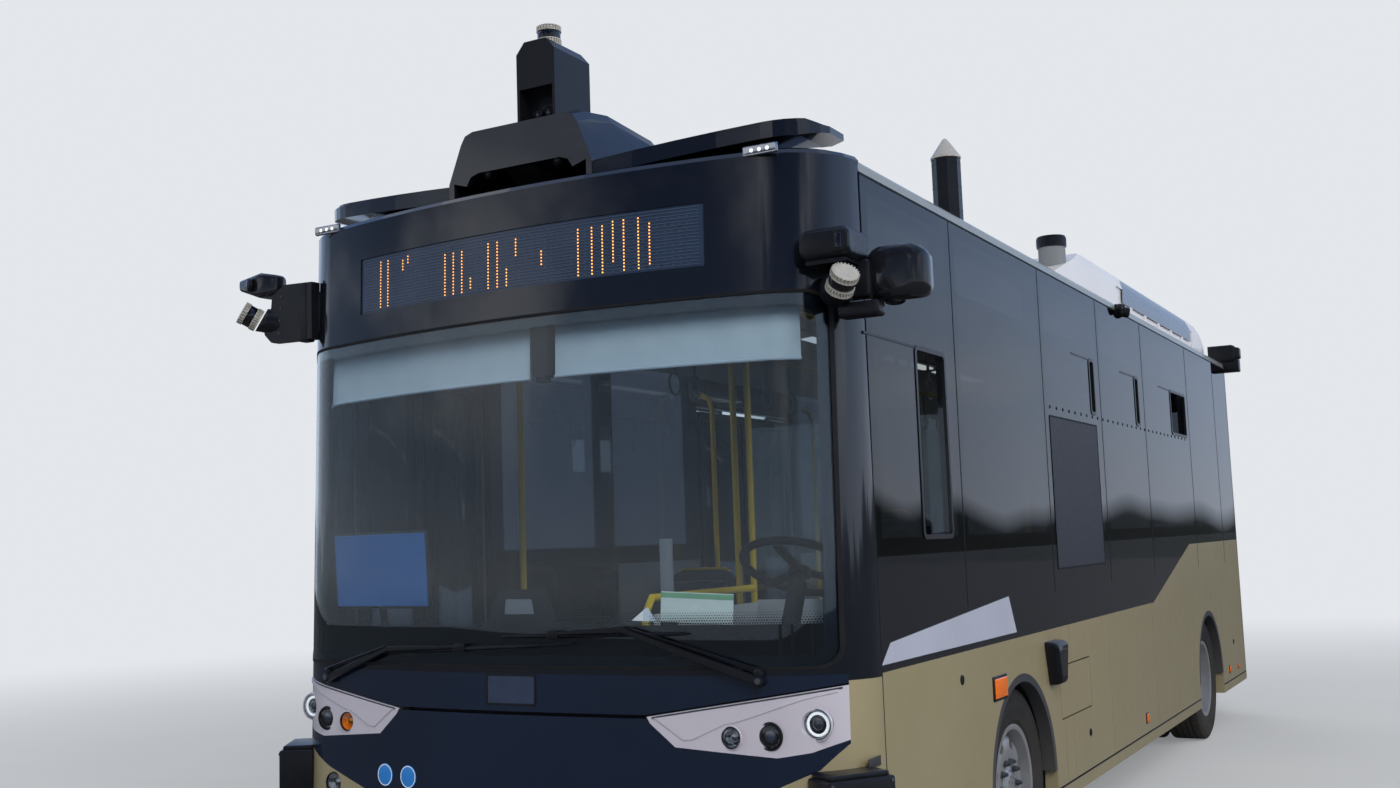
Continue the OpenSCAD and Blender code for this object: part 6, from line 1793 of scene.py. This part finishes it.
def plump(kind):
    """The kind's cushion, inflated as cloth: its underside and the seams of its channels are held."""
    if kind in PADS:
        return PADS[kind]
    (w, l, t), crown, channels = PAD_KINDS[kind]
    verts, faces = pad_form((w, l, t), crown, channels)
    scene = bpy.context.scene
    mesh = bpy.data.meshes.new("pad_cut")
    mesh.from_pydata([Vector(v) * 0.985 for v in verts], [], faces)
    obj = link_in("pad_cut", mesh)
    grain = obj.modifiers.new("grain", "REMESH")
    grain.mode = "VOXEL"
    grain.voxel_size = PAD_VOXEL
    fine = bpy.data.meshes.new_from_object(obj.evaluated_get(bpy.context.evaluated_depsgraph_get()))
    obj.modifiers.clear()
    obj.data = fine
    start = [v.co.copy() for v in fine.vertices]
    held = obj.vertex_groups.new(name="held")
    for v in fine.vertices:
        seam = any(abs(v.co.y - c * l) < 0.005 for c in channels) and v.co.z > 0 and abs(v.co.x) < w * 0.46
        if v.co.z < -t / 2 + 0.006 or seam:
            held.add([v.index], 1.0, "REPLACE")
    cloth = obj.modifiers.new("puff", "CLOTH")
    cloth.settings.quality = 5
    cloth.settings.use_pressure = True
    cloth.settings.uniform_pressure_force = 4
    cloth.settings.effector_weights.gravity = 0
    cloth.settings.vertex_group_mass = "held"
    cloth.point_cache.frame_start, cloth.point_cache.frame_end = 1, PAD_FRAMES
    for frame_number in range(1, PAD_FRAMES + 1):
        scene.frame_set(frame_number)
    puffed = obj.evaluated_get(bpy.context.evaluated_depsgraph_get())
    moved = []
    for v, rest in zip(puffed.data.vertices, start):
        d = v.co - rest
        moved.append(rest + d * min(1, PAD_CAP / max(d.length, 1e-9)))
    PADS[kind] = moved, [tuple(p.vertices) for p in fine.polygons]
    scene.frame_set(1)
    bpy.data.objects.remove(obj)
    return PADS[kind]


def seat_pad(name, at, size, kind, finish):
    """One cushion: the simulated one of its kind, in this one's size."""
    verts, faces = plump(kind)
    grow = [a / b for a, b in zip(size, PAD_KINDS[kind][0])]
    shape = Shape().add([(v[0] * grow[0], v[1] * grow[1], v[2] * grow[2]) for v in verts], faces, at)
    obj = piece(name, shape, finish, angle=80)
    return obj


def seats():
    """Six passenger seats: moulded shell, foot, cushions and grab handle."""
    merged = []
    for lo, hi in islands("passenger_seats"):
        for low, high in merged:
            apart = (low + high - lo - hi) / 2
            if max(abs(apart.x), abs(apart.y)) < SAME_SEAT:
                low[:] = [min(a, b) for a, b in zip(low, lo)]
                high[:] = [max(a, b) for a, b in zip(high, hi)]
                break
        else:
            merged.append((lo.copy(), hi.copy()))
    for k, (lo, hi) in enumerate(merged):
        last = seat(f"seat_{k + 1}", lo, hi, "seat_fabric")
    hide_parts("passenger_seats")


def seat(name, lo, hi, fabric):
    """One seat in the box that its CAD solid holds; it faces the front."""
    cx = (lo.x + hi.x) / 2
    w = hi.x - lo.x
    y0, y1 = lo.y, hi.y
    z_seat = lo.z + 0.40
    shell = Shape()
    # Side profile of the moulded shell, from the front edge of the seat to the top of the back
    line = [(y0 + 0.012, z_seat - 0.012), (y0 + 0.03, z_seat + 0.004), (y0 + 0.16, z_seat + 0.004),
            (y1 - 0.115, z_seat + 0.008),
            (y1 - 0.062, z_seat + 0.035), (y1 - 0.045, z_seat + 0.12), (y1 - 0.036, z_seat + 0.35),
            (y1 - 0.028, z_seat + 0.56),
            (y1 - 0.022, z_seat + 0.605)]
    loops = []
    m = 10
    for j in range(m + 1):
        u = j / m * 2 - 1
        x = cx + u * w / 2 * 0.985
        lift = 0.022 * u ** 4
        front = [(x, y, z + (lift if z < z_seat + 0.05 else 0)) for y, z in line]
        front = [(x, y - (0.02 * u ** 4 if z > z_seat + 0.05 else 0), z - (0.05 * u ** 6 if z > z_seat + 0.58 else 0))
                 for x, y, z in front]
        back = [(x, y + 0.012, z - 0.010) for x, y, z in front]
        loops.append(front + back[::-1])
    shell.loft(loops)
    obj = piece(f"{name}_shell", shell, "seat_shell", angle=60)
    foot = Shape().box((cx - 0.115, y0 + 0.11, lo.z + 0.001), (cx + 0.115, y0 + 0.33, lo.z + 0.016), 0.004)
    foot.loft([[(cx + x * g, y0 + 0.22 + y * g, z) for x, y in rounded(-0.075, -0.055, 0.075, 0.055, 0.02)]
               for z, g in ((lo.z + 0.014, 1.0), (lo.z + 0.05, 0.8), (z_seat - 0.06, 0.8), (z_seat - 0.012, 1.5))])
    piece(f"{name}_foot", foot, "frame_steel")
    seat_pad(f"{name}_cushion", move((cx, y0 + 0.185, z_seat + 0.036)), (w * 0.90, 0.335, 0.052), "seat",
             fabric)
    tilt = spin(92.4, "X")
    seat_pad(f"{name}_back", move((cx, y1 - 0.066, z_seat + 0.335)) @ tilt, (w * 0.86, 0.46, 0.040),
             "back",
             fabric)
    handle = Shape()
    zt = z_seat + 0.598
    handle.tube([(cx - w * 0.36, y1 - 0.018, zt - 0.03), (cx - w * 0.36, y1 - 0.017, zt + 0.002),
                 (cx - w * 0.30, y1 - 0.017, zt + 0.013),
                 (cx, y1 - 0.017, zt + 0.014), (cx + w * 0.30, y1 - 0.017, zt + 0.013),
                 (cx + w * 0.36, y1 - 0.017, zt + 0.002),
                 (cx + w * 0.36, y1 - 0.018, zt - 0.03)], 0.008, 10)
    piece(f"{name}_handle", handle, "rail_yellow")
    return obj


def driver_place():
    """The driver's seat, the dashboard's parts, the screen beside the door and the card in the glass."""
    lo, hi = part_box("driver_seat")
    obj = seat("driver_seat", lo, hi, "driver_fabric")
    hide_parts("driver_seat")
    base = Shape()
    cx, cy = (lo.x + hi.x) / 2, (lo.y + hi.y) / 2
    for k in range(6):
        z = lo.z + 0.03 + k * 0.045
        base.loft([[(cx + x * g, cy + y * g, h) for x, y in rounded(-0.13, -0.13, 0.13, 0.13, 0.03)]
                   for h, g in ((z, 0.94), (z + 0.014, 1.0), (z + 0.028, 1.0), (z + 0.042, 0.94))])
    piece("driver_seat_bellows", base, "rubber")
    # Head restraint
    seat_pad("driver_seat_head", move((cx, hi.y - 0.055, hi.z - 0.032)) @ spin(92, "X"), (0.26, 0.055, 0.05), "seat",
             "driver_fabric")
    # Dashboard: instrument hood, console, switches and the closed box on top
    hood = Shape()
    loops = []
    for i in range(17):
        x = 0.50 + 0.60 * i / 16
        arch = math.sin(math.pi * i / 16) ** 0.5
        z1 = 1.075 + 0.105 * arch
        loops.append([(x, -3.90, 1.03), (x, -3.90, z1 - 0.03), (x, -3.86, z1), (x, -3.68, z1 + 0.012),
                      (x, -3.635, z1 - 0.004), (x, -3.63, z1 - 0.022), (x, -3.70, z1 - 0.05), (x, -3.72, 1.03)])
    hood.loft(loops)
    piece("dash_hood", hood, "dash_plastic", angle=50)
    piece("dash_instruments", Shape().box((0.60, -3.705, 1.062), (1.00, -3.695, 1.142), 0.004), "smoked_glass")
    console = Shape().box((-0.28, -3.90, 1.055), (-0.13, -3.76, 1.245), 0.012, None, 3)
    console.box((0.30, -3.86, 1.055), (0.47, -3.62, 1.13), 0.02, None, 3)
    console.box((-0.54, -3.95, 1.05), (0.48, -3.60, 1.078), 0.012, None, 3)
    piece("dash_console", console, "dash_plastic")
    keys = Shape()
    for r in range(3):
        for c in range(4):
            keys.box((0.325 + c * 0.033, -3.80 + r * 0.05, 1.129), (0.350 + c * 0.033, -3.765 + r * 0.05, 1.1345),
                     0.003)
    piece("dash_keys", keys, "trim_grey")
    # Screen beside the door and the card in the glass, both left blank
    at = facing((-0.775, -3.925, 1.437), (-0.10, -1, -0.06))
    piece("door_screen_case", Shape().box((-0.265, -0.150, -0.012), (0.265, 0.150, 0.0), 0.008, at, 3), "satin_black")
    piece("door_screen", Shape().box((-0.255, -0.140, -0.002), (0.255, 0.140, 0.0015), 0.002, at, 1), "notice_blue")
    arm = Shape().tube([(-0.775, -3.915, 1.30), (-0.775, -3.89, 1.18), (-0.66, -3.86, 1.10), (-0.55, -3.84, 1.05)],
                       0.016, 12)
    piece("door_screen_arm", arm, "satin_black")
    at = facing(nose(0.716, 1.291, 0.0125), nose_normal(nose(0.716, 1.291)), (0.06, 0, 1))
    piece("pass_card", Shape().box((-0.128, -0.050, -0.0012), (0.128, 0.050, 0.0), 0.0004, at, 1), "card_white")
    tag = Shape().prism([(-0.232, -0.052), (-0.142, -0.052), (-0.176, -0.004)], -0.0012, 0.0, at)
    piece("pass_card_tag", tag, "sign_white")
    piece("pass_card_band", Shape().box((-0.128, 0.030, -0.0002), (0.128, 0.047, 0.0006), 0.0002, at, 1), "card_green")
    piece("dash_sheet_holder", Shape().box((0.500, -3.925, 1.22), (0.545, -3.905, 1.52), 0.004), "trim_grey")
    piece("dash_sheet_holder_foot", Shape().box((0.495, -3.925, 1.06), (0.55, -3.89, 1.24), 0.006), "satin_black")


RAIL_R, RAIL_Z = 0.0155, 2.50
CAB_X = 0.235
WALL_X = 1.157
BODY_YS = (-3.50, 0, 3.80)


def cabin():
    """Rails, straps, cab guard, ceiling, wall linings and the rear bench."""
    # Rails along the ceiling, hangers and stanchion collars
    rails, collars, straps = Shape(), Shape(), Shape()
    for x in (-0.42, 0.42):
        rails.tube([(x, y, RAIL_Z) for y in (-3.05, -2.9, 0, 3.4, 3.55)], RAIL_R, 12)
        for y in (-2.6, -1.6, -0.4, 0.8, 2.0, 3.2):
            rails.tube([(x, y, RAIL_Z), (x, y, 2.79)], 0.010, 8)
            collars.lathe([(0.024, -0.03), (0.024, 0.03)], 16, facing((x, y, RAIL_Z), (0, 1, 0)))
        for y in (-2.2, -2.0, -1.2, -0.9, 0.1, 0.4, 1.3, 1.6, 2.5, 2.8):
            straps.box((x - 0.004, y - 0.016, 2.33), (x + 0.004, y + 0.016, RAIL_Z), 0.003)
            straps.tube([(x, y + 0.055 * math.cos(a), 2.285 + 0.055 * math.sin(a)) for a in turns(20)], 0.007, 8,
                        closed=True)
    # The cab's guard rail and the rails beside the doors
    for y in (-2.665, -0.735, 0.735):
        rails.tube([(-1.02, y, 0.42), (-1.02, y, 2.30), (-1.04, y, 2.36), (-1.10, y, 2.40)], RAIL_R, 12)
    rails.tube([(CAB_X, -2.70, 0.60), (CAB_X, -2.70, 2.45)], RAIL_R, 12)
    rails.tube([(CAB_X, y, z) for y, z in ((-2.70, 1.30), (-3.55, 1.30), (-3.60, 1.24), (-3.60, 1.06))], RAIL_R, 12)
    piece("cabin_rails", rails, "rail_yellow")
    piece("cabin_rail_collars", collars, "dark_plastic")
    piece("cabin_straps", straps, "trim_grey")
    # Cab door and the partition's frame
    guard = Shape().box((0.243, -3.56, 0.60), (0.263, -2.72, 1.24), 0.006)
    guard.box((0.25, -2.712, 0.60), (1.14, -2.694, 1.25), 0.006)
    piece("cab_guard", guard, "lining")
    # Ceiling: middle panel, side ducts and lamp strips
    ceiling = Shape()
    for s in (-1, 1):
        path = [(0.62, 2.79), (0.86, 2.77), (1.06, 2.66), (1.125, 2.52), (1.135, 2.50), (1.150, 2.50), (1.150, 2.74),
                (0.62, 2.815)]
        ceiling.loft([[(s * x, y, z) for x, z in path] for y in (-3.55, -2.0, 0.0, 2.0, 3.80)])
    piece("ceiling_ducts", ceiling, "lining", angle=50)
    across = ((-0.60, 2.800), (0.60, 2.800), (0.60, 2.815), (-0.60, 2.815))
    middle = Shape().loft([[(x, y, z) for x, z in across] for y in BODY_YS])
    piece("ceiling_panel", middle, "lining")
    lamps = Shape()
    for s in (-1, 1):
        for y in (-3.1, -1.9, -0.7, 0.5, 1.7, 2.9):
            lamps.box((s * 0.70 - 0.045, y - 0.5, 2.7735), (s * 0.70 + 0.045, y + 0.5, 2.786), 0.004)
    piece("ceiling_lamps", lamps, "ceiling_lamp")
    # Wall linings under the windows
    walls = Shape()
    for y0, y1, s in ((-3.55, -2.70, 1), (-1.62, 1.88, 1), (-1.62, -0.72, -1), (0.72, 1.88, -1)):
        walls.box((s * WALL_X - 0.007, y0, 0.36), (s * WALL_X + 0.007, y1, 1.40), 0.004)
    for s in (-1, 1):
        walls.box((s * WALL_X - 0.007, 2.92, 0.72), (s * WALL_X + 0.007, 3.80, 1.44), 0.004)
    piece("wall_lining", walls, "trim_grey")
    # Rear bench on the platform
    piece("rear_bench_box", Shape().box((-1.10, 3.30, 0.715), (1.10, 3.82, 1.06), 0.02, None, 3), "seat_shell")
    lean_back = spin(96, "X")
    for k in range(4):
        x = -0.825 + k * 0.55
        seat_pad(f"bench_cushion_{k + 1}", move((x, 3.50, 1.095)), (0.50, 0.40, 0.07), "seat", "seat_fabric")
        seat_pad(f"bench_back_{k + 1}", move((x, 3.775, 1.36)) @ lean_back, (0.50, 0.50, 0.06), "back",
                 "seat_fabric")



camera()
world()
lights()
stage_floor()
dress_cad()
smooth_cad()
soften_edges()
windshield_trim()
blinds()
display()
front_details()
front_lamps()
wipers()
wheels()
scanners()
door_leaves()
sides()
side_fittings()
roof_equipment()
roof_unit()
clusters()
sensor_details()
rear()
seats()
driver_place()
cabin()

bpy.context.scene.view_settings.view_transform = "Standard"
